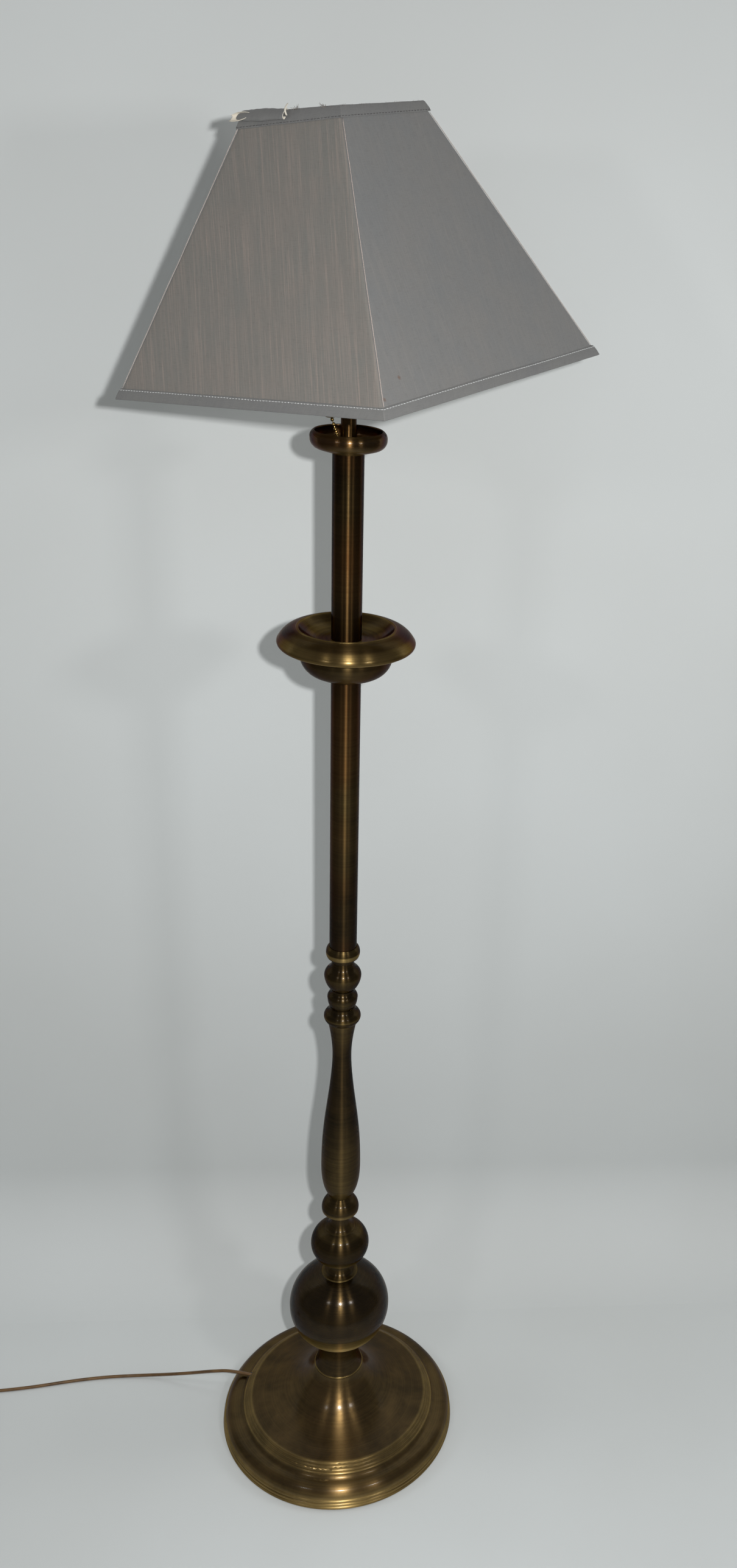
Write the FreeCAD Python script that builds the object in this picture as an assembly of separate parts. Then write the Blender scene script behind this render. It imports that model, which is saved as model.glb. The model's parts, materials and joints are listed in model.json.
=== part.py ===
"""Candlestick floor lamp of turned and spun brass with a square fabric shade.

Millimetres, +Z up, origin on the floor under the centre of the base.
-X is the side where the cord leaves, -Y is the side the lamp is seen from.
"""
import FreeCAD
import Part
import math
import os

V = FreeCAD.Vector
UP = V(0, 0, 1)
CENTRE = V(0, 0, 0)

# ---- clearances and general stock -------------------------------------------------
RUN_GAP = 0.05          # radial play of a running or sliding fit
BORE_GAP = 0.3          # play of the stacked pieces on the rod
SEAT_GAP = 0.2          # loose seat inside the base

# ---- rod that holds the stack together ---------------------------------------------
ROD_R = 5.0
ROD_BORE_R = 3.5
NUT_H = 5.0
NUT_FLATS = 14.0
WASHER_R = 12.0
WASHER_T = 1.2
ROD_TAIL = 1.0          # rod below the nut
ROD_IN_CAP = 8.0        # rod above the lower end of the lampholder's cap
LEAD_IN_CAP = 9.0       # lead above the same

# ---- base --------------------------------------------------------------------------
BASE_R = 141.0          # over the lowest foot bead
PAD_INSET = 5.0         # edge of the pad inside the base's edge
PAD_R = BASE_R - PAD_INSET
PAD_T = 1.5
BASE_LIFT = 0.6         # shell edge above the floor
BASE_WALL = 1.2
FOOT_BEADS = 3
FOOT_BEAD_H = 4.4
FOOT_BEAD_OUT = 1.6
FOOT_STEP = 0.6         # each bead is this much smaller than the one below
RIM_W = 19.0            # rolled rim, from the base's edge in to its top
RIM_TOP_R = BASE_R - RIM_W
RIM_TOP_Z = 26.0
RIM_CROWN = 3.5         # how far the rolled rim stands out from its chord
RIM_GROOVE_W = 5.7      # groove between the rim and the ridged band
RIM_GROOVE_D = 0.9
BAND_OUT_R = RIM_TOP_R - RIM_GROOVE_W
BAND_OUT_Z = 29.2
BAND_W = 10.7           # ridged band
BAND_IN_R = BAND_OUT_R - BAND_W
BAND_IN_Z = 39.6
BAND_RIDGES = 4
RIDGE_OUT = 0.8
BELL_TOP_R = 29.0
BASE_H = 89.0
WEIGHT_INSET = 9.0      # edge of the weight inside the base's edge
WEIGHT_R = BASE_R - WEIGHT_INSET
WEIGHT_DISC_T = 8.5
WEIGHT_EDGE_H = 9.0
WEIGHT_RING_W = 24.0    # thick outer ring
WEIGHT_RING_R = WEIGHT_R - WEIGHT_RING_W
HUB_R = 24.0
HUB_TOP_R = 16.0
HUB_H = 38.5
RECESS_R = 14.0
RECESS_H = 20.5

# ---- turned column, bottom to top: height and radii of each piece ---------------------
COVE_H = 49.0
COVE_WAIST_R = 23.5
COVE_TOP_R = 26.0
COVE_BEAD_H = 2.2
BALL_R = 58.4
BALL_ARC_R = 53.4       # radius of the ball's outline
BALL_TOP_R = 21.0
NECK_H = 19.0
NECK_WAIST_R = 11.5
NECK_TOP_R = 13.0
SMALL_BALL_R = 33.3
SMALL_BALL_ARC_R = 26.0
SMALL_BALL_TOP_R = 18.0
SMALL_NECK_H = 24.8
SMALL_NECK_R = 11.0
SMALL_BEAD_H = 22.0
SMALL_BEAD_R = 20.9
SMALL_BEAD_TOP_R = 11.5
BALUSTER_H = 238.0
BALUSTER_R = 21.7
BALUSTER_NECK_R = 10.1
BALUSTER_TOP_R = 15.2
BALUSTER_WALL = 3.2
LOW_BEAD_H = 19.0
LOW_BEAD_R = 19.4
LOW_BEAD_TOP_R = 12.8
MID_BEAD_H = 21.5
MID_BEAD_R = 15.7
MID_BEAD_TOP_R = 11.6
TOP_BEAD_H = 31.5
TOP_BEAD_R = 19.3
TOP_BEAD_TOP_R = 11.7
COLLAR_H = 21.5
COLLAR_R = 17.6
COLLAR_NECK_H = 8.9
COLLAR_SEAT_H = 10.9    # the tube stands this high in the collar
BALL_WALL = 1.4
LAND_T = 3.0            # end walls of the hollow pieces

# ---- tubes, drip pan and candle cup -----------------------------------------------------
TUBE_R = 14.0
TUBE_WALL = 0.8
LOWER_TUBE_L = 304.6
UPPER_TUBE_L = 167.0
BUSH_T = 4.0
BOWL_R = 43.0
BOWL_FLAT_R = 24.0
BOWL_H = 27.0
PAN_WALL = 1.3
PAN_EDGE_R = 62.6       # sharp edge round the top
PAN_EDGE_H = 8.0
PAN_FOLD_R = 60.4       # folded rim meets the bowl's flange
PAN_FOLD_H = 1.3
PAN_LIP_R = 44.3
PAN_LIP_H = 19.2        # lip above the underside
PAN_FLOOR_H = 8.0
PAN_FLOOR_R = 20.0
PAN_SLEEVE_R = 9.0
CUP_H = 19.0
CUP_R = 33.6
CUP_MOUTH_R = 29.2
CUP_WALL = 1.3
CUP_FLOOR_T = 2.2
SPACER_R = 6.75
SPACER_L = 28.8

# ---- lampholder, E27 -----------------------------------------------------------------
CAP_NECK_R = 8.0
CAP_R = 20.3
CAP_H = 32.0
CAP_DOME_H = 12.0
CAP_WALL = 0.8
SHELL_R = 19.6          # carries the 40 mm thread of the shade rings
SHELL_FOOT_R = 21.0
SHELL_FOOT_H = 4.0
SHELL_H = 40.0
SHELL_WALL = 0.8
CORE_WALL_R = 14.3
CORE_FOOT = 2.0         # core above the foot of the shell
CORE_FLOOR_T = 6.0
CORE_H = 37.0
CORE_HOLE_R = 3.0
LINER_WALL = 0.8
LINER_L = 27.0
BULB_SCREW_R = 13.2
BULB_CAP_L = 25.0
BULB_R = 30.0
BULB_NECK_R = 12.6
BULB_NECK_H = 5.0
BULB_CENTRE_H = 76.0    # centre of the globe above the bulb's contact
BULB_NECK_DROP = 22.0   # where the neck's curve meets the globe, below its centre
GLASS_T = 0.8
CONTACT_H = 4.8
CONTACT_T = 0.6
BULB_GAP = 0.1
SHADE_RING_R = 24.0
SHADE_RING_T = 5.0
CARRIER_SEAT_R = 26.0
CARRIER_SEAT_T = 2.0
CARRIER_SEAT_H = 20.0   # seat above the foot of the shell

# ---- pull switch ------------------------------------------------------------------------
PULL_X = -15.5
PULL_Y = -3.0
PULL_TRAVEL = 6.0
LEVER_ARM = 13.0
LEVER_W = 4.6
LEVER_T = 1.2
LEVER_SLOT = 1.5
LEVER_BOSS_R = 2.6
LEVER_PIN_R = 1.2
LEVER_PIN_L = 18.0
LEVER_H = 17.0          # pivot above the cap's lower end
GUIDE_R = 3.4
GUIDE_BORE_R = 2.2
GUIDE_MOUTH_R = 4.2
GUIDE_DROP = 1.0        # mouth below the cap's lower end
CHAIN_BEAD_R = 1.6
CHAIN_LINK_R = 0.45
CHAIN_PITCH = 4.1
CHAIN_SHANK = 5.4       # from the stop bead to the first free bead

# ---- shade carrier and gimbal --------------------------------------------------------------
WIRE_R = 1.5
CARRIER_WIRES = 3
CARRIER_RING_R = 33.0   # inside; the bulb goes up through it
CARRIER_RING_WALL = 4.0
CARRIER_RING_H = 6.0
CARRIER_FLANGE_R = 41.0
CARRIER_FLANGE_T = 1.4
CARRIER_BEND_R = 8.0
PIN_R = 1.6
PIN_L = 9.0
PIN_HEAD_R = 2.8
PIN_HEAD_T = 1.5
EYE_R = 4.2
EYE_W = 3.4

# ---- shade, square; sizes in its own upright position -----------------------------------
SHADE_H = 200.0
SHADE_LOW = 89.0        # hem below the tilt axis
SHADE_BOTTOM = 288.0    # side of the square, without the binding
SHADE_TOP = 98.0
SHADE_TURN = 3.9        # degrees about Z as photographed
SHADE_TILT = 7.2        # degrees, right side up
PANEL_T = 1.0
BINDING_T = 0.8
BOTTOM_BINDING = 12.0
TOP_BINDING = 10.0
HOOP_R = 1.75           # wire of the bottom hoop
HOOP_INSET = 3.0        # hoop wire above the hem

# ---- cord and plug --------------------------------------------------------------------------
CORD_R = 2.0
CORD_AZIMUTH = 162.0    # degrees from +X where the cord leaves the base
CORD_SINK = 6.3         # cord and lead meet this far inside the band's lower edge
CORD_EXIT_R = BAND_OUT_R - CORD_SINK
CORD_EXIT_Z = 30.0
GROMMET_R = 3.1
GROMMET_TAIL = 5.5      # bush goes on this far inside the meeting point
GROMMET_IN_R = CORD_EXIT_R - GROMMET_TAIL
GROMMET_PLAY = 0.15
LEAD_BEND_R = 9.0
LEAD_DROP_GAP = 12.5    # from the bush in to where the lead goes down
LEAD_DROP_R = GROMMET_IN_R - LEAD_DROP_GAP
LEAD_Z = 5.0
LEAD_GROOVE_PLAY = 3.0  # groove wider than the lead
FLOOR_Z = CORD_R + 0.1
# the cord's way over the floor: steps from its exit in X and Y, and heights
CORD_POINTS = [(-28.2, 9.1, CORD_EXIT_Z), (-53.4, 13.2, 25.6), (-83.4, 20.0, 15.8),
               (-111.4, 26.4, 7.6), (-145.4, 30.6, 3.0), (-188.4, 30.8, FLOOR_Z),
               (-232.4, 26.0, FLOOR_Z), (-276.4, 18.6, FLOOR_Z), (-320.4, 14.3, FLOOR_Z)]
COIL_R = 29.8           # outermost turn
COIL_TURNS = 10.25
COIL_LAYERS = 4
COIL_PITCH = 4.6
COIL_LIFT = 4.6
COIL_CENTRE = (-361.4, -16.5)   # from the exit, as the points are
PLUG_L = 36.0
PLUG_W = 35.3
PLUG_T = 13.7
PLUG_Z = PLUG_T / 2     # the plug lies on the floor
TAIL_POINTS = [(-391.75, -39.0, 15.9), (-393.2, -59.5, 12.2), (-392.4, -80.0, PLUG_Z),
               (-391.8, -100.0, PLUG_Z)]
PLUG_FACE_L = 6.0       # full-width part behind the face
PLUG_GRIP_W = 15.0
PLUG_GRIP_T = 10.0
PLUG_RELIEF_L = 22.0
PLUG_RELIEF_W = 6.4     # at the cord
PLUG_PIN_R = 2.0
PLUG_PIN_L = 19.0
PLUG_PIN_SPACING = 18.6


# ---- levels worked out from the sizes above ---------------------------------------------------
def ball_half(radius, arc_r, seat_r):
    """Height from a ball's widest circle to the seat of radius seat_r."""
    return math.sqrt(arc_r ** 2 - (seat_r - radius + arc_r) ** 2)


Z_BALL = BASE_H + COVE_H
BALL_DOWN = ball_half(BALL_R, BALL_ARC_R, COVE_TOP_R)
BALL_UP = ball_half(BALL_R, BALL_ARC_R, BALL_TOP_R)
Z_NECK = Z_BALL + BALL_DOWN + BALL_UP
Z_SMALL_BALL = Z_NECK + NECK_H
SMALL_DOWN = ball_half(SMALL_BALL_R, SMALL_BALL_ARC_R, NECK_TOP_R)
SMALL_UP = ball_half(SMALL_BALL_R, SMALL_BALL_ARC_R, SMALL_BALL_TOP_R)
Z_SMALL_NECK = Z_SMALL_BALL + SMALL_DOWN + SMALL_UP
Z_SMALL_BEAD = Z_SMALL_NECK + SMALL_NECK_H
Z_BALUSTER = Z_SMALL_BEAD + SMALL_BEAD_H
Z_LOW_BEAD = Z_BALUSTER + BALUSTER_H
Z_MID_BEAD = Z_LOW_BEAD + LOW_BEAD_H
Z_TOP_BEAD = Z_MID_BEAD + MID_BEAD_H
Z_COLLAR = Z_TOP_BEAD + TOP_BEAD_H
Z_LOWER_TUBE = Z_COLLAR + COLLAR_SEAT_H
Z_BOWL = Z_LOWER_TUBE + LOWER_TUBE_L
Z_PAN = Z_BOWL + BOWL_H
Z_UPPER_TUBE = Z_PAN + PAN_FLOOR_H
Z_CUP = Z_UPPER_TUBE + UPPER_TUBE_L
Z_SPACER = Z_CUP + CUP_FLOOR_T
Z_CAP = Z_SPACER + SPACER_L
Z_SHELL = Z_CAP + CAP_H
Z_SEAT = Z_SHELL + CARRIER_SEAT_H
Z_CORE = Z_SHELL + CORE_FOOT
Z_BULB = Z_CORE + CORE_FLOOR_T + CONTACT_H + BULB_GAP
PIVOT_Z = Z_BULB + BULB_CENTRE_H
Z_LEVER = Z_CAP + LEVER_H
BORE_R = ROD_R + BORE_GAP


# ---- shape helpers ---------------------------------------------------------------------------
def polar(radius, degrees, z=0.0):
    """Point at a radius and azimuth."""
    angle = math.radians(degrees)
    return V(radius * math.cos(angle), radius * math.sin(angle), z)


def outline_edges(steps):
    """Edges of an outline in the XZ plane.

    A step is a point (r, z), an arc (r, z, r, z) through the first pair to the
    second, or a list of points that a smooth curve runs through.
    """
    edges = []
    here = V(steps[0][0], 0, steps[0][1])
    for step in steps[1:]:
        if isinstance(step, list):
            points = [here] + [V(r, 0, z) for r, z in step]
            curve = Part.BSplineCurve()
            curve.interpolate(points)
            edges.append(curve.toShape())
            here = points[-1]
            continue
        end = V(step[-2], 0, step[-1])
        if len(step) == 4:
            edges.append(Part.Arc(here, V(step[0], 0, step[1]), end).toShape())
        elif (end - here).Length > 1e-6:
            edges.append(Part.LineSegment(here, end).toShape())
        here = end
    return edges


def turned(*steps):
    """Solid of revolution about the lamp's axis from a closed outline."""
    wire = Part.Wire(outline_edges(list(steps) + [steps[0][:2]]))
    return Part.Face(wire).revolve(CENTRE, UP, 360)


def ring(inner, outer, low, high):
    """Plain turned ring."""
    return turned((inner, low), (outer, low), (outer, high), (inner, high))


def rod(start, end, radius):
    """Straight round bar between two points."""
    return Part.makeCylinder(radius, (end - start).Length, start, end - start)


def bulged(low, high, out):
    """Arc step from low to high, both (r, z), that bulges outward by out."""
    run = (high[0] - low[0], high[1] - low[1])
    length = math.hypot(*run)
    middle = ((low[0] + high[0]) / 2 + out * run[1] / length,
              (low[1] + high[1]) / 2 - out * run[0] / length)
    return middle + high


def ridged(low, high, count, out):
    """Arc steps of equal ridges along the line from low to high."""
    steps = []
    for i in range(count):
        a = [low[k] + (high[k] - low[k]) * i / count for k in (0, 1)]
        b = [low[k] + (high[k] - low[k]) * (i + 1) / count for k in (0, 1)]
        steps.append(bulged(tuple(a), tuple(b), out))
    return steps


def bent_path(points, radius=None):
    """Straight runs joined by tangent arcs, with the arcs' radii."""
    edges = []
    radii = []
    here = points[0]
    for before, corner, after in zip(points, points[1:], points[2:]):
        arrive = (corner - before).normalize()
        leave = (after - corner).normalize()
        half = arrive.getAngle(leave) / 2
        reach = 0.45 * min((corner - before).Length, (after - corner).Length)
        bend = radius or reach / math.tan(half)
        cut = bend * math.tan(half)
        start = corner - arrive * cut
        end = corner + leave * cut
        inward = (leave - arrive).normalize()
        middle = corner + inward * (bend / math.cos(half) - bend)
        edges.append(Part.LineSegment(here, start).toShape())
        edges.append(Part.Arc(start, middle, end).toShape())
        radii.append(bend)
        here = end
    edges.append(Part.LineSegment(here, points[-1]).toShape())
    return Part.Wire(edges), radii


def tube_along(wire, radius):
    """Round solid of the given radius along a wire."""
    first = wire.Edges[0]
    start = first.valueAt(first.FirstParameter)
    direction = first.tangentAt(first.FirstParameter)
    section = Part.Wire(Part.makeCircle(radius, start, direction))
    return wire.makePipeShell([section], True, False)


def shade_place(shape):
    """Move a shape from the shade's upright position to the photographed one."""
    shape.rotate(CENTRE, V(0, 1, 0), -SHADE_TILT)
    shape.rotate(CENTRE, UP, SHADE_TURN)
    shape.translate(V(0, 0, PIVOT_Z))
    return shape


def gimbal_place(shape):
    """Move a shape from the pivot's own frame to its place on the carrier."""
    shape.rotate(CENTRE, UP, SHADE_TURN)
    shape.translate(V(0, 0, PIVOT_Z))
    return shape


# ---- base ---------------------------------------------------------------------------------
def floor_pad():
    return Part.makeCylinder(PAD_R, PAD_T)


def bell_points():
    """Points on the outside of the bell, from the ridged band up."""
    fall = BASE_H - BAND_IN_Z
    width = BAND_IN_R - BELL_TOP_R
    shares = [(0.665, 0.125), (0.352, 0.342), (0.124, 0.656)]
    return [(BELL_TOP_R + a * width, BAND_IN_Z + b * fall) for a, b in shares]


def base_outside():
    """Outline steps of the base's outside, from the foot to the bell's top."""
    steps = [(BASE_R - FOOT_BEAD_OUT, BASE_LIFT)]
    for i in range(FOOT_BEADS):
        low = (BASE_R - FOOT_BEAD_OUT - i * FOOT_STEP, BASE_LIFT + i * FOOT_BEAD_H)
        high = (low[0] - FOOT_STEP, low[1] + FOOT_BEAD_H)
        steps.append(bulged(low, high, FOOT_BEAD_OUT))
    steps.append(bulged(steps[-1][-2:], (RIM_TOP_R, RIM_TOP_Z), RIM_CROWN))
    steps.append(bulged((RIM_TOP_R, RIM_TOP_Z), (BAND_OUT_R, BAND_OUT_Z), -RIM_GROOVE_D))
    steps += ridged((BAND_OUT_R, BAND_OUT_Z), (BAND_IN_R, BAND_IN_Z), BAND_RIDGES, RIDGE_OUT)
    steps.append(bell_points() + [(BELL_TOP_R, BASE_H)])
    return steps


def base_shell():
    wall = BASE_WALL
    outside = base_outside()
    foot_top = outside[FOOT_BEADS][-2:]
    steps = outside + [(BORE_R, BASE_H), (BORE_R, BASE_H - wall),
                       (BELL_TOP_R - 1.4 * wall, BASE_H - wall)]
    inside = [(r - 0.6 * wall, z - 1.1 * wall) for r, z in reversed(bell_points())]
    steps.append(inside + [(BAND_IN_R - 0.5 * wall, BAND_IN_Z - 1.2 * wall)])
    steps.append((BAND_OUT_R - wall, BAND_OUT_Z - wall))
    steps.append((RIM_TOP_R, RIM_TOP_Z - 1.4 * wall))
    steps.append(bulged((RIM_TOP_R, RIM_TOP_Z - 1.4 * wall),
                        (foot_top[0] - 1.2 * wall, foot_top[1]), -RIM_CROWN))
    steps.append((foot_top[0] - 0.5 * wall, BASE_LIFT))
    return turned(*steps).cut(cord_bar(GROMMET_R))


def cord_bar(radius):
    """Round bar along the cord's way out through the shell."""
    inner = polar(GROMMET_IN_R, CORD_AZIMUTH, CORD_EXIT_Z)
    return rod(inner, polar(RIM_TOP_R, CORD_AZIMUTH, CORD_EXIT_Z), radius)


def cord_grommet():
    """Bush in the cord hole, flush with the outside of the shell."""
    form = turned(*(base_outside() + [(0, BASE_H), (0, BASE_LIFT)]))
    return cord_bar(GROMMET_R).common(form).cut(cord_bar(CORD_R + GROMMET_PLAY))


def base_weight():
    low = PAD_T
    disc = low + WEIGHT_DISC_T
    ring_top = RIM_TOP_Z - 1.4 * BASE_WALL - SEAT_GAP
    edge = low + WEIGHT_EDGE_H
    body = turned((RECESS_R, low), (WEIGHT_R, low), (WEIGHT_R, edge),
                  bulged((WEIGHT_R, edge), (RIM_TOP_R, ring_top), 1.6),
                  (WEIGHT_RING_R + 4, ring_top - 1), (WEIGHT_RING_R, disc),
                  (HUB_R, disc), (HUB_TOP_R, low + HUB_H), (BORE_R, low + HUB_H),
                  (BORE_R, low + RECESS_H), (RECESS_R, low + RECESS_H))
    width = 2 * CORD_R + LEAD_GROOVE_PLAY
    groove = Part.makeBox(LEAD_DROP_R + 4, width, LEAD_Z + CORD_R + 1 - low + 1,
                          V(0, -width / 2, low - 1))
    notch = Part.makeBox(13, width, WEIGHT_DISC_T + 2, V(LEAD_DROP_R - 7, -width / 2, low - 1))
    cut = groove.fuse(notch)
    cut.rotate(CENTRE, UP, CORD_AZIMUTH)
    return body.cut(cut)


def base_washer():
    top = PAD_T + RECESS_H
    return ring(BORE_R, WASHER_R, top - WASHER_T, top)


def hexagon_prism(flats, low, high):
    corner = flats / math.sqrt(3)
    points = [polar(corner, 60 * i, low) for i in range(7)]
    return Part.Face(Part.makePolygon(points)).extrude(V(0, 0, high - low))


def nut_top():
    return PAD_T + RECESS_H - WASHER_T


def base_nut():
    top = nut_top()
    return hexagon_prism(NUT_FLATS, top - NUT_H, top).cut(
        Part.makeCylinder(ROD_R, NUT_H, V(0, 0, top - NUT_H)))


def threaded_rod():
    return ring(ROD_BORE_R, ROD_R, nut_top() - NUT_H - ROD_TAIL, Z_CAP + ROD_IN_CAP)


# ---- turned column ---------------------------------------------------------------------------
def base_cove():
    low, high = BASE_H, Z_BALL
    bead = low + COVE_BEAD_H
    return turned((BORE_R, low), (BELL_TOP_R - 0.6, low),
                  bulged((BELL_TOP_R - 0.6, low), (BELL_TOP_R - 0.8, bead), 0.7),
                  (COVE_WAIST_R, low + 0.45 * COVE_H, COVE_TOP_R, high), (BORE_R, high),
                  (BORE_R, high - LAND_T), (COVE_WAIST_R - 4, high - LAND_T),
                  (COVE_WAIST_R - 4, low + LAND_T), (BORE_R, low + LAND_T))


def hollow_ball(z, radius, arc_r, down, up, low_r, high_r):
    middle = z + down
    inner = arc_r - BALL_WALL
    centre = radius - arc_r
    low_in = centre + math.sqrt(inner ** 2 - (down - LAND_T) ** 2)
    high_in = centre + math.sqrt(inner ** 2 - (up - LAND_T) ** 2)
    return turned((BORE_R, z), (low_r, z), (radius, middle, high_r, middle + up),
                  (BORE_R, middle + up), (BORE_R, middle + up - LAND_T),
                  (high_in, middle + up - LAND_T),
                  (radius - BALL_WALL, middle, low_in, z + LAND_T), (BORE_R, z + LAND_T))


def large_ball():
    return hollow_ball(Z_BALL, BALL_R, BALL_ARC_R, BALL_DOWN, BALL_UP, COVE_TOP_R, BALL_TOP_R)


def small_ball():
    return hollow_ball(Z_SMALL_BALL, SMALL_BALL_R, SMALL_BALL_ARC_R, SMALL_DOWN, SMALL_UP,
                       NECK_TOP_R, SMALL_BALL_TOP_R)


def ball_neck():
    low, high = Z_NECK, Z_SMALL_BALL
    return turned((BORE_R, low), (BALL_TOP_R, low), (BALL_TOP_R - 0.6, low + 1.5),
                  (NECK_WAIST_R + 0.6, low + 0.42 * NECK_H, NECK_WAIST_R, low + 0.75 * NECK_H),
                  (NECK_TOP_R, high), (BORE_R, high))


def small_neck():
    low, high = Z_SMALL_NECK, Z_SMALL_BEAD
    return turned((BORE_R, low), (SMALL_BALL_TOP_R, low), (SMALL_BALL_TOP_R - 0.6, low + 1.4),
                  (SMALL_NECK_R + 1.2, low + 0.3 * SMALL_NECK_H,
                   SMALL_NECK_R, low + 0.6 * SMALL_NECK_H),
                  (SMALL_NECK_R, high), (BORE_R, high))


def bead_collar():
    low, high = Z_SMALL_BEAD, Z_BALUSTER
    return turned((BORE_R, low), (SMALL_NECK_R, low), (SMALL_BEAD_R - 1.4, low + 0.8),
                  (SMALL_BEAD_R - 0.2, low + 1.6),
                  (SMALL_BEAD_R - 1.5, low + 0.55 * SMALL_BEAD_H,
                   SMALL_BEAD_TOP_R + 2.5, low + 0.84 * SMALL_BEAD_H),
                  (SMALL_BEAD_TOP_R, high), (BORE_R, high))


def baluster():
    low, high = Z_BALUSTER, Z_LOW_BEAD
    swell = BALUSTER_R - BALUSTER_NECK_R
    shares = [(0.58, 0.042), (0.915, 0.111), (1.0, 0.218), (0.80, 0.412), (0.39, 0.586),
              (0.052, 0.75), (0.0, 0.828), (0.12, 0.91)]
    outside = [(BALUSTER_NECK_R + a * swell, low + b * BALUSTER_H) for a, b in shares]
    inside = [(r - BALUSTER_WALL, z) for r, z in reversed(outside)]
    inside_top = (BALUSTER_TOP_R - BALUSTER_WALL - 2, high - LAND_T)
    inside_low = (SMALL_BEAD_TOP_R - 1.0, low + LAND_T)
    return turned((BORE_R, low), (SMALL_BEAD_TOP_R, low), outside + [(BALUSTER_TOP_R, high)],
                  (BORE_R, high), (BORE_R, high - LAND_T), inside_top,
                  inside + [inside_low], (BORE_R, low + LAND_T))


def bead(low, height, low_r, wide_r, top_r, wide_at, fillet_at):
    """Turned bead: rounded flank, then a hollow fillet up to the next piece."""
    wide = low + wide_at * height
    shoulder = low + fillet_at * height
    shoulder_r = top_r + 0.55 * (wide_r - top_r)
    return turned((BORE_R, low), (low_r, low),
                  bulged((low_r, low), (wide_r, wide), 0.22 * (wide_r - low_r)),
                  bulged((wide_r, wide), (shoulder_r, shoulder), 0.9),
                  bulged((shoulder_r, shoulder), (top_r, low + height), -0.7),
                  (BORE_R, low + height))


def bead_lower():
    return bead(Z_LOW_BEAD, LOW_BEAD_H, BALUSTER_TOP_R, LOW_BEAD_R, LOW_BEAD_TOP_R, 0.36, 0.7)


def bead_middle():
    return bead(Z_MID_BEAD, MID_BEAD_H, LOW_BEAD_TOP_R, MID_BEAD_R, MID_BEAD_TOP_R, 0.5, 0.78)


def bead_upper():
    return bead(Z_TOP_BEAD, TOP_BEAD_H, MID_BEAD_TOP_R, TOP_BEAD_R, TOP_BEAD_TOP_R, 0.55, 0.8)


def tube_collar():
    low, high = Z_COLLAR, Z_COLLAR + COLLAR_H
    edge = low + COLLAR_NECK_H
    seat = low + COLLAR_SEAT_H
    socket = TUBE_R + RUN_GAP
    return turned((BORE_R, low), (TOP_BEAD_TOP_R, low), (TOP_BEAD_TOP_R - 0.5, low + 3),
                  (TOP_BEAD_TOP_R + 0.3, edge - 0.6), (COLLAR_R - 1.2, edge),
                  bulged((COLLAR_R - 1.2, edge), (COLLAR_R - 1.3, high - 2.2), 1.2),
                  (socket + 0.6, high), (socket, high), (socket, seat), (BORE_R, seat))


# ---- tubes, pan and cup ------------------------------------------------------------------------
def lower_tube():
    return ring(TUBE_R - TUBE_WALL, TUBE_R, Z_LOWER_TUBE, Z_BOWL)


def upper_tube():
    return ring(TUBE_R - TUBE_WALL, TUBE_R, Z_UPPER_TUBE, Z_CUP)


def tube_bushes():
    """Four like bushes that centre the tubes on the rod."""
    bushes = []
    for level in (Z_LOWER_TUBE, Z_BOWL - BUSH_T, Z_UPPER_TUBE, Z_CUP - BUSH_T):
        bushes.append(ring(BORE_R, TUBE_R - TUBE_WALL - RUN_GAP, level, level + BUSH_T))
    return Part.makeCompound(bushes)


def pan_bowl():
    low, high = Z_BOWL, Z_PAN
    wall = PAN_WALL
    flat = BOWL_FLAT_R
    knee = low + 0.78 * BOWL_H
    fold = (PAN_FOLD_R - RUN_GAP, high + PAN_FOLD_H)
    return turned((BORE_R, low), (flat, low),
                  (flat + 0.78 * (BOWL_R - flat), low + 0.28 * BOWL_H, BOWL_R, knee),
                  (BOWL_R, high), bulged((BOWL_R, high), fold, 0.5),
                  (fold[0], fold[1] + wall), (BOWL_R, high + wall), (BOWL_R - wall, high),
                  (BOWL_R - wall, knee),
                  (flat + 0.72 * (BOWL_R - flat), low + 0.34 * BOWL_H, flat, low + wall),
                  (BORE_R, low + wall))


def drip_pan():
    wall = PAN_WALL
    fold = (PAN_FOLD_R, Z_PAN + PAN_FOLD_H)
    edge = (PAN_EDGE_R, Z_PAN + PAN_EDGE_H)
    shoulder = (PAN_LIP_R + 2.2, Z_PAN + PAN_LIP_H - 0.7)
    lip = (PAN_LIP_R - 0.7, Z_PAN + PAN_LIP_H - 0.8)
    floor = (PAN_FLOOR_R, Z_PAN + PAN_FLOOR_H)
    lip_in = (PAN_LIP_R + 0.3, lip[1] - wall)
    edge_in = (PAN_EDGE_R - 1.4 * wall, edge[1] - 0.5 * wall)
    fold_in = (PAN_FOLD_R, fold[1] + wall)
    return turned(fold, bulged(fold, edge, 2.2), bulged(edge, shoulder, 2.4),
                  bulged(shoulder, lip, 0.8), bulged(lip, floor, -3.0), (BORE_R, floor[1]),
                  (BORE_R, floor[1] - wall), (floor[0], floor[1] - wall),
                  bulged((floor[0], floor[1] - wall), lip_in, 3.2),
                  bulged(lip_in, edge_in, -1.8), bulged(edge_in, fold_in, -1.2))


def pan_sleeve():
    """Distance sleeve between the floors of the bowl and the pan."""
    return ring(BORE_R, PAN_SLEEVE_R, Z_BOWL + PAN_WALL, Z_UPPER_TUBE - PAN_WALL)


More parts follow.
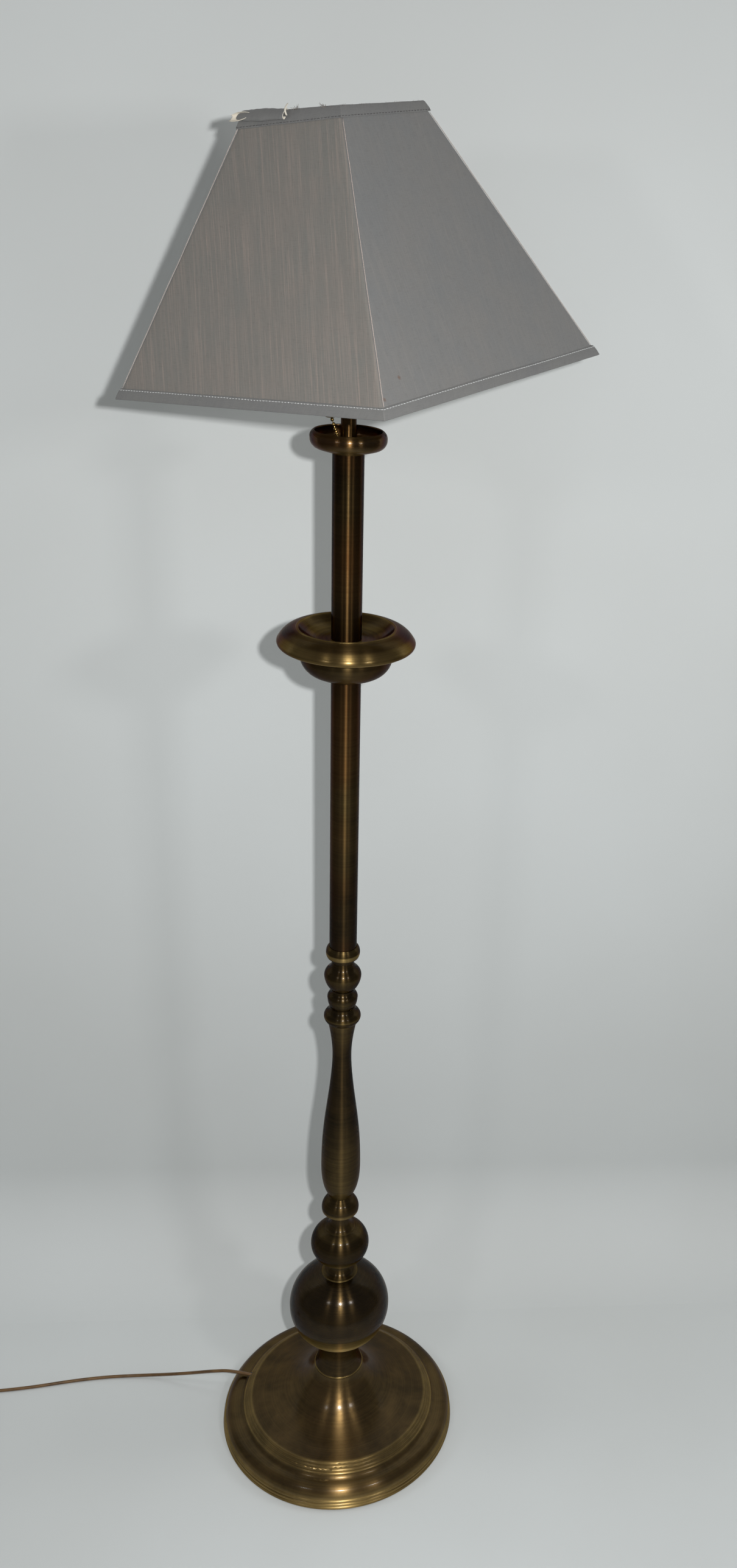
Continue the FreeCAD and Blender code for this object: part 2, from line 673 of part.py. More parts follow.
def candle_cup():
    low, high = Z_CUP, Z_CUP + CUP_H
    wall = CUP_WALL
    return turned((BORE_R, low), (TUBE_R, low),
                  (CUP_R - 5, low + 4.4),
                  bulged((CUP_R - 5, low + 4.4), (CUP_R, low + 0.66 * CUP_H), 1.5),
                  bulged((CUP_R, low + 0.66 * CUP_H), (CUP_MOUTH_R + 0.9, high), 1.1),
                  bulged((CUP_MOUTH_R + 0.9, high), (CUP_MOUTH_R, high - 0.9), 0.3),
                  bulged((CUP_MOUTH_R, high - 0.9), (CUP_R - wall, low + 0.66 * CUP_H), -1.0),
                  bulged((CUP_R - wall, low + 0.66 * CUP_H), (CUP_R - 5.4, low + 6.0), -1.4),
                  (TUBE_R, low + CUP_FLOOR_T), (BORE_R, low + CUP_FLOOR_T))


def cup_spacer():
    return ring(BORE_R, SPACER_R, Z_SPACER, Z_CAP)


# ---- lampholder ------------------------------------------------------------------------------------
def guide_bar(radius, low, high):
    return rod(V(PULL_X, PULL_Y, low), V(PULL_X, PULL_Y, high), radius)


def holder_cap():
    low, high = Z_CAP, Z_SHELL
    wall = CAP_WALL
    dome = low + CAP_DOME_H
    cap = turned((BORE_R, low), (CAP_NECK_R, low), (CAP_NECK_R, low + 2.5),
                 bulged((CAP_NECK_R, low + 2.5), (CAP_R, dome), 3.2), (CAP_R, high),
                 (CAP_R - wall, high), (CAP_R - wall, dome),
                 bulged((CAP_R - wall, dome), (CAP_NECK_R - 0.5, low + 2.5 + wall), -3.2),
                 (BORE_R, low + 2.5 + wall))
    return cap.cut(guide_bar(GUIDE_R, low, dome))


def pull_guide():
    """Bell-mouthed spout under the cap that the chain runs through."""
    low = Z_CAP - GUIDE_DROP
    high = Z_CAP + CAP_DOME_H - 1.6
    body = turned((GUIDE_BORE_R + 0.9, low), (GUIDE_MOUTH_R, low), (GUIDE_R, low + 2.5),
                  (GUIDE_R, high), (GUIDE_BORE_R, high), (GUIDE_BORE_R, low + 2))
    body.translate(V(PULL_X, PULL_Y, 0))
    return body


def switch_block():
    """Moulded block inside the cap, slotted for the lever."""
    low, high = Z_CAP + CAP_DOME_H - 1.4, Z_CORE
    radius = CAP_R - CAP_WALL - 0.6
    top_r = SHELL_R - SHELL_WALL - 0.6
    block = turned((BORE_R, low), (radius - 1.5, low), (radius, low + 2.5), (radius, Z_SHELL - 1),
                   (top_r, Z_SHELL), (top_r, high), (0, high), (0, low + 3), (BORE_R, low + 3))
    slot_w = LEVER_W + 1.2
    reach = LEVER_ARM + LEVER_BOSS_R + 4
    slot = Part.makeBox(reach + 2, slot_w, 15.5,
                        V(PULL_X - 2.6, PULL_Y - slot_w / 2, low - 1))
    pin_hole = lever_bar(LEVER_PIN_R, LEVER_PIN_L)
    return block.cut(slot).cut(pin_hole)


def lever_bar(radius, length):
    x = PULL_X + LEVER_ARM
    return rod(V(x, PULL_Y - length / 2, Z_LEVER), V(x, PULL_Y + length / 2, Z_LEVER), radius)


def lever_pin():
    return lever_bar(LEVER_PIN_R, LEVER_PIN_L)


def pull_lever():
    """Forked lever that the stop bead of the chain rests on, tip up at rest."""
    length = LEVER_ARM + 2.6
    blade = Part.makeBox(length, LEVER_W, LEVER_T, V(-length, -LEVER_W / 2, -LEVER_T / 2))
    boss = rod(V(0, -LEVER_W / 2, 0), V(0, LEVER_W / 2, 0), LEVER_BOSS_R)
    slot = Part.makeBox(6, LEVER_SLOT, 4, V(-length - 1, -LEVER_SLOT / 2, -2))
    hole = rod(V(0, -LEVER_W, 0), V(0, LEVER_W, 0), LEVER_PIN_R + RUN_GAP)
    lever = blade.fuse(boss).cut(slot).cut(hole).removeSplitter()
    lever.rotate(CENTRE, V(0, 1, 0), lever_swing() / 2)
    lever.translate(V(PULL_X + LEVER_ARM, PULL_Y, Z_LEVER))
    return lever


def lever_swing():
    """Degrees that the lever turns over the chain's travel."""
    return 2 * math.degrees(math.asin(PULL_TRAVEL / 2 / LEVER_ARM))


def chain_path():
    """Bead centres, from the stop bead down into the candle cup."""
    tip = Z_LEVER + PULL_TRAVEL / 2
    stop = V(PULL_X, PULL_Y, tip + CHAIN_BEAD_R + LEVER_T / 2 + 0.45)
    beads = [stop, stop - V(0, 0, CHAIN_SHANK)]
    mouth = V(PULL_X, PULL_Y, Z_CAP - GUIDE_DROP + 1)
    while beads[-1].z - CHAIN_PITCH > mouth.z:
        beads.append(beads[-1] - V(0, 0, CHAIN_PITCH))
    rest = V(-8.4, PULL_Y - 2.4, Z_CUP + CUP_FLOOR_T + PULL_TRAVEL + 4.4)
    down = (rest - beads[-1])
    count = int(round(down.Length / CHAIN_PITCH))
    first = beads[-1]
    for i in range(1, count + 1):
        beads.append(first + down * (i / count))
    return beads


def pull_chain():
    beads = chain_path()
    chain = rod(beads[0], beads[1], CHAIN_LINK_R)
    parts = [Part.makeSphere(CHAIN_BEAD_R, centre) for centre in beads]
    for a, b in zip(beads[1:], beads[2:]):
        parts.append(rod(a, b, CHAIN_LINK_R))
    return chain.multiFuse(parts)


def holder_shell():
    low, high = Z_SHELL, Z_SHELL + SHELL_H
    wall = SHELL_WALL
    return turned((SHELL_R - wall, low), (SHELL_FOOT_R - 0.8, low),
                  bulged((SHELL_FOOT_R - 0.8, low), (SHELL_R, low + SHELL_FOOT_H), 1.0),
                  (SHELL_R, high), (SHELL_R - wall, high))


def holder_core():
    """Porcelain insert that carries the screw liner."""
    low = Z_CORE
    outer = SHELL_R - SHELL_WALL - RUN_GAP
    return turned((CORE_HOLE_R, low), (outer, low), (outer, low + CORE_H),
                  (CORE_WALL_R, low + CORE_H), (CORE_WALL_R, low + CORE_FLOOR_T),
                  (CORE_HOLE_R, low + CORE_FLOOR_T))


def screw_liner():
    low = Z_CORE + CORE_FLOOR_T
    outer = CORE_WALL_R - RUN_GAP
    return ring(outer - LINER_WALL, outer, low, low + LINER_L)


def centre_contact():
    """Spring tongue under the bulb."""
    low = Z_CORE + CORE_FLOOR_T
    foot = low + CONTACT_T
    top = low + CONTACT_H
    under = top - CONTACT_T
    points = [V(-9, 0, low), V(9, 0, low), V(9, 0, foot - 0.1), V(4, 0, top), V(-4, 0, top),
              V(-4, 0, under), V(3.4, 0, under), V(7.8, 0, foot), V(-9, 0, foot), V(-9, 0, low)]
    tongue = Part.Face(Part.makePolygon(points)).extrude(V(0, 6, 0))
    tongue.translate(V(0, -3, 0))
    return tongue


def bulb_cap():
    low = Z_BULB
    top = low + BULB_CAP_L
    return turned((0, low), (4.6, low), (BULB_SCREW_R - 3, low + 4), (BULB_SCREW_R, low + 5.5),
                  (BULB_SCREW_R, top), (0, top))


def bulb_glass():
    low = Z_BULB + BULB_CAP_L
    drop = BULB_NECK_DROP
    centre = PIVOT_Z
    slope = math.sqrt(BULB_R ** 2 - drop ** 2)
    inner = BULB_R - GLASS_T
    in_slope = math.sqrt(inner ** 2 - drop ** 2)
    neck_in = BULB_NECK_R - GLASS_T
    knee = BULB_R * math.cos(math.radians(15)), centre + BULB_R * math.sin(math.radians(15))
    in_knee = inner * math.cos(math.radians(15)), centre + inner * math.sin(math.radians(15))
    neck_end = low + BULB_NECK_H
    return turned((neck_in, low), (BULB_NECK_R, low), (BULB_NECK_R, neck_end),
                  bulged((BULB_NECK_R, neck_end), (slope, centre - drop), -1.2),
                  knee + (0, centre + BULB_R), (0, centre + inner),
                  in_knee + (in_slope, centre - drop),
                  bulged((in_slope, centre - drop), (neck_in, neck_end), 1.2))


# ---- shade carrier and gimbal -------------------------------------------------------------------------
def shade_rings():
    """Two like ring nuts that clamp the carrier's seat."""
    bore = SHELL_R + RUN_GAP
    rings = []
    for level in (Z_SEAT - SHADE_RING_T, Z_SEAT + CARRIER_SEAT_T):
        rings.append(ring(bore, SHADE_RING_R, level, level + SHADE_RING_T))
    return Part.makeCompound(rings)


def carrier_seat():
    return ring(SHELL_R + 0.15, CARRIER_SEAT_R, Z_SEAT, Z_SEAT + CARRIER_SEAT_T)


def flange_low():
    return PIVOT_Z - CARRIER_RING_H / 2 - CARRIER_FLANGE_T


def carrier_wires():
    """Like wires from the seat up round the bulb to the upper ring."""
    middle = Z_SEAT + CARRIER_SEAT_T / 2
    wires = []
    for i in range(CARRIER_WIRES):
        azimuth = 30 + 360 * i / CARRIER_WIRES
        out = CARRIER_RING_R + CARRIER_RING_WALL
        points = [polar(CARRIER_SEAT_R, azimuth, middle), polar(out, azimuth, middle),
                  polar(out, azimuth, flange_low())]
        wires.append(tube_along(bent_path(points, CARRIER_BEND_R)[0], WIRE_R))
    return Part.makeCompound(wires)


def carrier_ring():
    inner = CARRIER_RING_R
    outer = inner + CARRIER_RING_WALL
    low = flange_low()
    step = low + CARRIER_FLANGE_T
    return turned((inner, low), (CARRIER_FLANGE_R, low), (CARRIER_FLANGE_R, step),
                  (outer, step), (outer, step + CARRIER_RING_H), (inner, step + CARRIER_RING_H))


def gimbal_ring():
    inner = CARRIER_RING_R + CARRIER_RING_WALL + RUN_GAP
    half = CARRIER_RING_H / 2
    hoop = turned((inner, -half + RUN_GAP), (CARRIER_FLANGE_R, -half + RUN_GAP),
                  (CARRIER_FLANGE_R, half), (inner, half))
    for side in (1, -1):
        hoop = hoop.cut(rod(V(0, side * (inner + 1), 0), V(0, side * (inner + 9), 0), PIN_R))
    return gimbal_place(hoop)


def pivot_pins():
    """Two like headed pins, front and back, that the shade tilts on."""
    start = CARRIER_RING_R + CARRIER_RING_WALL + RUN_GAP + 1
    pins = []
    for side in (1, -1):
        shank = rod(V(0, side * start, 0), V(0, side * (start + PIN_L), 0), PIN_R)
        head = rod(V(0, side * (start + PIN_L), 0),
                   V(0, side * (start + PIN_L + PIN_HEAD_T), 0), PIN_HEAD_R)
        pins.append(shank.fuse(head).removeSplitter())
    return gimbal_place(Part.makeCompound(pins))


# ---- shade; built upright about the tilt axis, then placed --------------------------------------------
def half_side(z, inset=0.0):
    """Half the square at a height, inset square to the sloping panel."""
    slope = (SHADE_BOTTOM - SHADE_TOP) / 2 / SHADE_H
    outer = SHADE_BOTTOM / 2 - slope * (z + SHADE_LOW)
    return outer - inset * math.hypot(1, slope)


def corners(z, inset=0.0):
    """Corners of the shade's square at a height: right, back, left, front."""
    reach = half_side(z, inset) * math.sqrt(2)
    return [V(reach, 0, z), V(0, reach, z), V(-reach, 0, z), V(0, -reach, z)]


def shade_top():
    return SHADE_H - SHADE_LOW


def slab(low, high, outer, inner, side):
    """Plate on one side of the shade between two heights and two insets."""
    def quad(inset):
        a, b = corners(low, inset), corners(high, inset)
        here, there = side % 4, (side + 1) % 4
        return Part.makePolygon([a[here], a[there], b[there], b[here], a[here]])
    return Part.makeLoft([quad(outer), quad(inner)], True, True)


def panel(side):
    return shade_place(slab(-SHADE_LOW, shade_top(), 0, PANEL_T, side))


def binding(low, high):
    strips = [slab(low, high, -BINDING_T, 0, side) for side in range(4)]
    return shade_place(Part.makeCompound(strips))


def square_hoop(z, radius, inset):
    """Square of round wire, mitred and brazed at its corners."""
    points = corners(z, inset)
    middle = V(0, 0, z - 2 * radius)
    bars = []
    for i in range(4):
        a, b = points[i], points[(i + 1) % 4]
        along = (b - a).normalize()
        bar = rod(a - along * radius, b + along * radius, radius)
        reach = [V(2 * p.x, 2 * p.y, middle.z) for p in (a, b)]
        wedge = Part.Face(Part.makePolygon([middle, reach[0], reach[1], middle]))
        bars.append(bar.common(wedge.extrude(V(0, 0, 4 * radius))))
    return Part.makeCompound(bars)


def wire_inset(radius):
    return PANEL_T + radius + RUN_GAP


def bottom_hoop():
    return square_hoop(-SHADE_LOW + HOOP_INSET, HOOP_R, wire_inset(HOOP_R))


def top_hoop():
    return square_hoop(shade_top() - HOOP_INSET, WIRE_R, wire_inset(WIRE_R))


def strut_bars():
    """Bars up the four corners, before they are cut to the hoops."""
    inset = wire_inset(WIRE_R) + 0.5
    low, high = corners(-SHADE_LOW + HOOP_INSET, inset), corners(shade_top() - HOOP_INSET, inset)
    return [rod(a, b, WIRE_R) for a, b in zip(low, high)]


def frame_struts():
    hoops = bottom_hoop().fuse(top_hoop())
    return shade_place(Part.makeCompound([bar.cut(hoops) for bar in strut_bars()]))


def frame_arms():
    """Two like arms from the corner struts in to eyes on the pivot pins."""
    start = CARRIER_RING_R + CARRIER_RING_WALL + RUN_GAP + 1 + PIN_L - EYE_W - 2 * RUN_GAP
    struts = strut_bars()
    height = EYE_R + 4.5
    reach = half_side(height, wire_inset(WIRE_R) + 0.5) * math.sqrt(2)
    arms = []
    for side, strut in ((1, struts[1]), (-1, struts[3])):
        eye = rod(V(0, side * start, 0), V(0, side * (start + EYE_W), 0), EYE_R)
        middle = side * (start + EYE_W / 2)
        path = bent_path([V(0, middle, EYE_R - 1), V(0, middle, height),
                          V(0, side * reach, height)], 3.5)[0]
        bar = tube_along(path, WIRE_R)
        hole = rod(V(0, side * (start - 1), 0), V(0, side * (start + EYE_W + 1), 0), PIN_R + RUN_GAP)
        arms.append(eye.fuse(bar).removeSplitter().cut(hole).cut(strut))
    return shade_place(Part.makeCompound(arms))


# ---- cord and plug -----------------------------------------------------------------------------------
def cord_start():
    return polar(CORD_EXIT_R, CORD_AZIMUTH, CORD_EXIT_Z)


def inner_lead():
    """Lead from the cord's way in, under the weight and up the rod."""
    a = CORD_AZIMUTH
    points = [cord_start(), polar(LEAD_DROP_R, a, CORD_EXIT_Z), polar(LEAD_DROP_R, a, LEAD_Z),
              V(0, 0, LEAD_Z), V(0, 0, Z_CAP + LEAD_IN_CAP)]
    return tube_along(bent_path(points, LEAD_BEND_R)[0], CORD_R)


def coil_point(turn):
    """Centre line of the coil after a number of turns from its start.

    The turns spiral in and out again, one layer each way, and climb in the half
    turn where the spiral reverses.
    """
    span = COIL_TURNS / COIL_LAYERS
    layer = min(int(turn / span), COIL_LAYERS - 1)
    along = turn - layer * span
    inset = along if layer % 2 == 0 else span - along
    radius = COIL_R - COIL_PITCH * inset
    rise = 0
    for k in range(1, COIL_LAYERS):
        climb = min(max(2 * (turn - k * span) + 0.5, 0), 1)
        rise += COIL_LIFT * (3 * climb ** 2 - 2 * climb ** 3)
    angle = math.pi / 2 + 2 * math.pi * turn
    centre = cord_start() + V(COIL_CENTRE[0], COIL_CENTRE[1], 0)
    return V(centre.x + radius * math.cos(angle), centre.y + radius * math.sin(angle),
             FLOOR_Z + rise)


def coil_tangent(turn):
    step = 1e-5
    return (coil_point(turn + step) - coil_point(turn - step)).normalize()


def arc_from(start, tangent, end):
    """Arc that leaves start along tangent and reaches end."""
    chord = end - start
    side = chord - tangent * chord.dot(tangent)
    half = tangent.getAngle(chord)
    if half < 1e-7:
        return Part.LineSegment(start, end).toShape()
    side.normalize()
    radius = chord.Length / 2 / math.sin(half)
    centre = start + side * radius
    outward = ((start + end) * 0.5 - centre).normalize()
    return Part.Arc(start, centre + outward * radius, end).toShape()


def biarc(start, leave, end, arrive):
    """Two tangent arcs from start to end with the given directions."""
    chord = end - start
    both = leave + arrive
    spread = 2 * (1 - leave.dot(arrive))
    along = chord.dot(both)
    reach = (-along + math.sqrt(along ** 2 + spread * chord.dot(chord))) / spread
    joint = (start + end + (leave - arrive) * reach) * 0.5
    return arc_from(start, leave, joint), reversed_arc(end, arrive, joint)


def reversed_arc(end, arrive, joint):
    """Arc from joint that reaches end along the direction arrive."""
    edge = arc_from(end, arrive * -1, joint)
    middle = edge.valueAt((edge.FirstParameter + edge.LastParameter) / 2)
    return Part.Arc(joint, middle, end).toShape()


def coil_wire():
    """The coil's path, with a short straight lead at each end."""
    quarters = int(round(COIL_TURNS * 4))
    lead = 2 * CORD_R
    first, last = coil_point(0), coil_point(COIL_TURNS)
    edges = [Part.LineSegment(first - coil_tangent(0) * lead, first).toShape()]
    for i in range(quarters):
        a, b = i / 4, (i + 1) / 4
        edges += biarc(coil_point(a), coil_tangent(a), coil_point(b), coil_tangent(b))
    edges.append(Part.LineSegment(last, last + coil_tangent(COIL_TURNS) * lead).toShape())
    return Part.Wire(edges)


def coil_gap():
    """Least gap between turns, measured on points of the path."""
    per_turn = 90
    total = int(COIL_TURNS * per_turn)
    points = [coil_point(i / per_turn) for i in range(total + 1)]
    least = 1e9
    for i in range(total + 1):
        for j in range(i + per_turn // 2, total + 1):
            least = min(least, (points[i] - points[j]).Length)
    return least - 2 * CORD_R


def coil_ends():
    wire = coil_wire()
    first, last = wire.OrderedEdges[0], wire.OrderedEdges[-1]
    return first.valueAt(first.FirstParameter), last.valueAt(last.LastParameter)


def from_exit(points):
    """Points given as steps from the cord's exit in X and Y, and heights."""
    start = cord_start()
    return [V(start.x + x, start.y + y, z) for x, y, z in points]


def run_points():
    return [cord_start()] + from_exit(CORD_POINTS) + [coil_ends()[0]]


def tail_points():
    return [coil_ends()[1]] + from_exit(TAIL_POINTS)


def cord_piece(points, name):
    """Free stretch of the cord, with its radii and volume printed."""
    wire, radii = bent_path(points)
    solid = tube_along(wire, CORD_R)
    share = solid.Volume / (math.pi * CORD_R ** 2 * wire.Length)
    print(name, "length", round(wire.Length, 1), "radii", [round(r) for r in radii],
          "volume share", round(share, 4))
    return solid


def cord_run():
    return cord_piece(run_points(), "cord_run")


def cord_tail():
    return cord_piece(tail_points(), "cord_tail")


def cord_coil():
    wire = coil_wire()
    solid = tube_along(wire, CORD_R)
    share = solid.Volume / (math.pi * CORD_R ** 2 * wire.Length)
    print("cord_coil length", round(wire.Length, 1), "turns", COIL_TURNS,
          "least gap", round(coil_gap(), 2), "volume share", round(share, 4))
    return solid


def plug_place(shape):
    """Lay a plug built along +X from its cord end on the end of the tail."""
    end, before = tail_points()[-1], tail_points()[-2]
    heading = math.degrees(math.atan2(end.y - before.y, end.x - before.x))
    shape.rotate(CENTRE, UP, heading)
    shape.translate(end)
    return shape


def rounded_block(x, width, thick):
    """Eight-sided section across the plug at a distance from its cord end."""
    w, t = width / 2, thick / 2
    c = 0.3 * min(width, thick)
    points = [V(x, -w + c, -t), V(x, w - c, -t), V(x, w, -t + c), V(x, w, t - c),
              V(x, w - c, t), V(x, -w + c, t), V(x, -w, t - c), V(x, -w, -t + c)]
    return Part.makePolygon(points + points[:1])


def plug_body():
    """Flat two-pole plug with a tapering grip and strain relief."""
    face = PLUG_RELIEF_L + PLUG_L
    sections = [(0, PLUG_RELIEF_W, PLUG_RELIEF_W),
                (PLUG_RELIEF_L, PLUG_GRIP_W - 4, PLUG_GRIP_T - 1),
                (PLUG_RELIEF_L + 0.3 * PLUG_L, PLUG_GRIP_W, PLUG_GRIP_T),
                (face - 2 * PLUG_FACE_L, 0.8 * PLUG_W, PLUG_T - 1),
                (face - PLUG_FACE_L, PLUG_W, PLUG_T), (face, PLUG_W, PLUG_T)]
    wires = [rounded_block(*section) for section in sections]
    return plug_place(Part.makeLoft(wires, True, True))


def plug_pins():
    """Two like round pins with rounded ends."""
    pins = []
    for side in (1, -1):
        y = side * PLUG_PIN_SPACING / 2
        start = PLUG_RELIEF_L + PLUG_L
        end = start + PLUG_PIN_L - PLUG_PIN_R
        shank = rod(V(start, y, 0), V(end, y, 0), PLUG_PIN_R)
        pins.append(shank.fuse(Part.makeSphere(PLUG_PIN_R, V(end, y, 0))).removeSplitter())
    return plug_place(Part.makeCompound(pins))


# ---- write every piece --------------------------------------------------------------------------------
PIECES = {
    "floor_pad": floor_pad, "base_weight": base_weight, "base_shell": base_shell,
    "base_washer": base_washer, "base_nut": base_nut, "threaded_rod": threaded_rod,
    "base_cove": base_cove, "large_ball": large_ball, "ball_neck": ball_neck,
    "small_ball": small_ball, "small_neck": small_neck, "bead_collar": bead_collar,
    "baluster": baluster, "bead_lower": bead_lower, "bead_middle": bead_middle,
    "bead_upper": bead_upper, "tube_collar": tube_collar, "lower_tube": lower_tube,
    "upper_tube": upper_tube, "tube_bushes": tube_bushes, "pan_bowl": pan_bowl,
    "drip_pan": drip_pan, "pan_sleeve": pan_sleeve, "candle_cup": candle_cup, "cup_spacer": cup_spacer,
    "holder_cap": holder_cap, "pull_guide": pull_guide, "switch_block": switch_block,
    "lever_pin": lever_pin, "pull_lever": pull_lever, "pull_chain": pull_chain,
    "holder_shell": holder_shell, "holder_core": holder_core, "screw_liner": screw_liner,
    "centre_contact": centre_contact, "bulb_cap": bulb_cap, "bulb_glass": bulb_glass,
    "shade_rings": shade_rings, "carrier_seat": carrier_seat, "carrier_wires": carrier_wires,
    "carrier_ring": carrier_ring, "gimbal_ring": gimbal_ring, "pivot_pins": pivot_pins,
    "frame_bottom": lambda: shade_place(bottom_hoop()),
    "frame_top": lambda: shade_place(top_hoop()),
    "frame_struts": frame_struts, "frame_arms": frame_arms,
    "panel_back_right": lambda: panel(0), "panel_back_left": lambda: panel(1),
    "panel_front_left": lambda: panel(2), "panel_front_right": lambda: panel(3),
    "binding_bottom": lambda: binding(-SHADE_LOW, -SHADE_LOW + BOTTOM_BINDING),
    "binding_top": lambda: binding(shade_top() - TOP_BINDING, shade_top()),
    "inner_lead": inner_lead, "cord_grommet": cord_grommet, "cord_run": cord_run,
    "cord_coil": cord_coil, "cord_tail": cord_tail, "plug_body": plug_body,
    "plug_pins": plug_pins,
}


def main():
    os.makedirs("parts", exist_ok=True)
    for name, make in PIECES.items():
        shape = make()
        if not shape.isValid() or shape.Volume <= 0:
            print("bad shape:", name)
        shape.exportStep("parts/" + name + ".step")
    print("pieces", len(PIECES), "pivot", round(PIVOT_Z, 2), "cup", round(Z_CUP, 2),
          "pan", round(Z_PAN, 2), "swing", round(lever_swing(), 2))


main()
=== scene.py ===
"""Looks of a candlestick floor lamp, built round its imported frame. Metres, +Z up."""
import bpy
import bmesh
import json
import math
import random
from mathutils import Matrix, Vector, noise


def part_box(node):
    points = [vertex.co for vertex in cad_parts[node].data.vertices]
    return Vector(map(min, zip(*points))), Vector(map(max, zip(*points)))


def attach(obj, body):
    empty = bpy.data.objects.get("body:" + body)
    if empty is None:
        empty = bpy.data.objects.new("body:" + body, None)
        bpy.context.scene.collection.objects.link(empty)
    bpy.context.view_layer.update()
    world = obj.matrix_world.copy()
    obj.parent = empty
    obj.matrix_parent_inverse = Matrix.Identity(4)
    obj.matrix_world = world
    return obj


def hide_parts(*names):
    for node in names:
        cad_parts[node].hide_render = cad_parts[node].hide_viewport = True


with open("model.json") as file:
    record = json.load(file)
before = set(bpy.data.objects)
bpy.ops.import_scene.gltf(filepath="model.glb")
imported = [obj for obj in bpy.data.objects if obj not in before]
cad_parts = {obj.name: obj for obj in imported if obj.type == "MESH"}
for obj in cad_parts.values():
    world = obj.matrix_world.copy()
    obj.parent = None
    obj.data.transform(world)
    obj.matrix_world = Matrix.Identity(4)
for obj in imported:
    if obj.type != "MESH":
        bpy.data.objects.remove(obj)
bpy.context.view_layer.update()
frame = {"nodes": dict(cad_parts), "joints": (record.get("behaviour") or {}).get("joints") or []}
NODES = frame["nodes"]
scene = bpy.context.scene
random.seed(7)

# ---- camera: position and angles worked out from the photograph ------------------------------
CAM_AT = (-0.00243, -1.20545, 1.41898)
CAM_YAW, CAM_PITCH, CAM_ROLL = 7.466, 26.9543, -3.9669
CAM_LENS = 31.22
CAM_SHIFT = (-0.08404, 0.03939)
SENSOR = 36.0            # mm, over the long side of the picture


def make_camera():
    yaw, pitch, roll = (math.radians(a) for a in (CAM_YAW, CAM_PITCH, CAM_ROLL))
    forward = Vector((math.sin(yaw) * math.cos(pitch), math.cos(yaw) * math.cos(pitch),
                      -math.sin(pitch)))
    level = Vector((math.cos(yaw), -math.sin(yaw), 0))
    below = forward.cross(level)
    right = level * math.cos(roll) + below * math.sin(roll)
    down = below * math.cos(roll) - level * math.sin(roll)
    data = bpy.data.cameras.new("camera")
    data.lens = CAM_LENS
    data.sensor_width = SENSOR
    data.shift_x, data.shift_y = CAM_SHIFT
    data.clip_start, data.clip_end = 0.01, 100
    cam = bpy.data.objects.new("camera", data)
    scene.collection.objects.link(cam)
    turn = Matrix((right, -down, -forward)).transposed().to_4x4()
    cam.matrix_world = Matrix.Translation(CAM_AT) @ turn
    scene.camera = cam


# ---- the cord's route, as in the construction ------------------------------------------------
CORD_R = 0.002
FLOOR_Z = 0.0021
EXIT_R, EXIT_ANGLE, EXIT_Z = 0.110, math.radians(162), 0.030
EXIT = Vector((EXIT_R * math.cos(EXIT_ANGLE), EXIT_R * math.sin(EXIT_ANGLE), EXIT_Z))
CORD_POINTS = [(-0.0282, 0.0091, 0.030), (-0.0534, 0.0132, 0.0256), (-0.0834, 0.0200, 0.0158),
               (-0.1114, 0.0264, 0.0076), (-0.1454, 0.0306, 0.0030),
               (-0.1884, 0.0308, FLOOR_Z), (-0.2324, 0.0260, FLOOR_Z),
               (-0.2764, 0.0186, FLOOR_Z), (-0.3204, 0.0143, FLOOR_Z)]
COIL_R = 0.0298
COIL_TURNS = 10.25
COIL_LAYERS = 4
COIL_PITCH = 0.0046
COIL_LIFT = 0.0046
COIL_CENTRE = (-0.3614, -0.0165)
COIL_STEPS = 16          # control points for each turn
COIL_ENTRY = 0.006       # how far before the coil its last free point lies
COIL_EXIT = 0.004
PLUG_Z = 0.00685
TAIL_POINTS = [(-0.39175, -0.0390, 0.0159), (-0.3932, -0.0595, 0.0122),
               (-0.3924, -0.0800, PLUG_Z), (-0.3918, -0.1000, PLUG_Z)]


def coil_point(turn, out=1.0):
    """Point of the coil; out pushes control points outside the line they make."""
    span = COIL_TURNS / COIL_LAYERS
    layer = min(int(turn / span), COIL_LAYERS - 1)
    along = turn - layer * span
    inset = along if layer % 2 == 0 else span - along
    radius = (COIL_R - COIL_PITCH * inset) * out
    rise = 0.0
    for k in range(1, COIL_LAYERS):
        climb = min(max(2 * (turn - k * span) + 0.5, 0), 1)
        rise += COIL_LIFT * (3 * climb ** 2 - 2 * climb ** 3)
    angle = math.pi / 2 + 2 * math.pi * turn
    return Vector((EXIT.x + COIL_CENTRE[0] + radius * math.cos(angle),
                   EXIT.y + COIL_CENTRE[1] + radius * math.sin(angle), FLOOR_Z + rise))


def make_cord():
    out = 1 / (0.75 + 0.25 * math.cos(2 * math.pi / COIL_STEPS))
    points = [EXIT] + [Vector((EXIT.x + x, EXIT.y + y, z)) for x, y, z in CORD_POINTS]
    points.append(coil_point(0) + Vector((COIL_ENTRY, 0.0002, 0)))
    points += [coil_point((i + 0.5) / COIL_STEPS, out)
               for i in range(int(COIL_TURNS * COIL_STEPS))]
    points.append(coil_point(COIL_TURNS) - Vector((0, COIL_EXIT, 0)))
    points += [Vector((EXIT.x + x, EXIT.y + y, z)) for x, y, z in TAIL_POINTS]
    data = bpy.data.curves.new("cord", "CURVE")
    data.dimensions = "3D"
    spline = data.splines.new("NURBS")
    spline.points.add(len(points) - 1)
    for p, co in zip(spline.points, points):
        p.co = (*co, 1)
        p.radius = CORD_R
    spline.order_u = 3
    spline.use_endpoint_u = True
    data.resolution_u = 6
    data.bevel_depth = 1.0      # the points' own radius is the cord's
    data.bevel_resolution = 3
    data.use_fill_caps = True
    cord = bpy.data.objects.new("cord", data)
    scene.collection.objects.link(cord)
    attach(cord, "lamp")
    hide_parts("cord_run", "cord_coil", "cord_tail")
    return cord


make_camera()
CORD = make_cord()


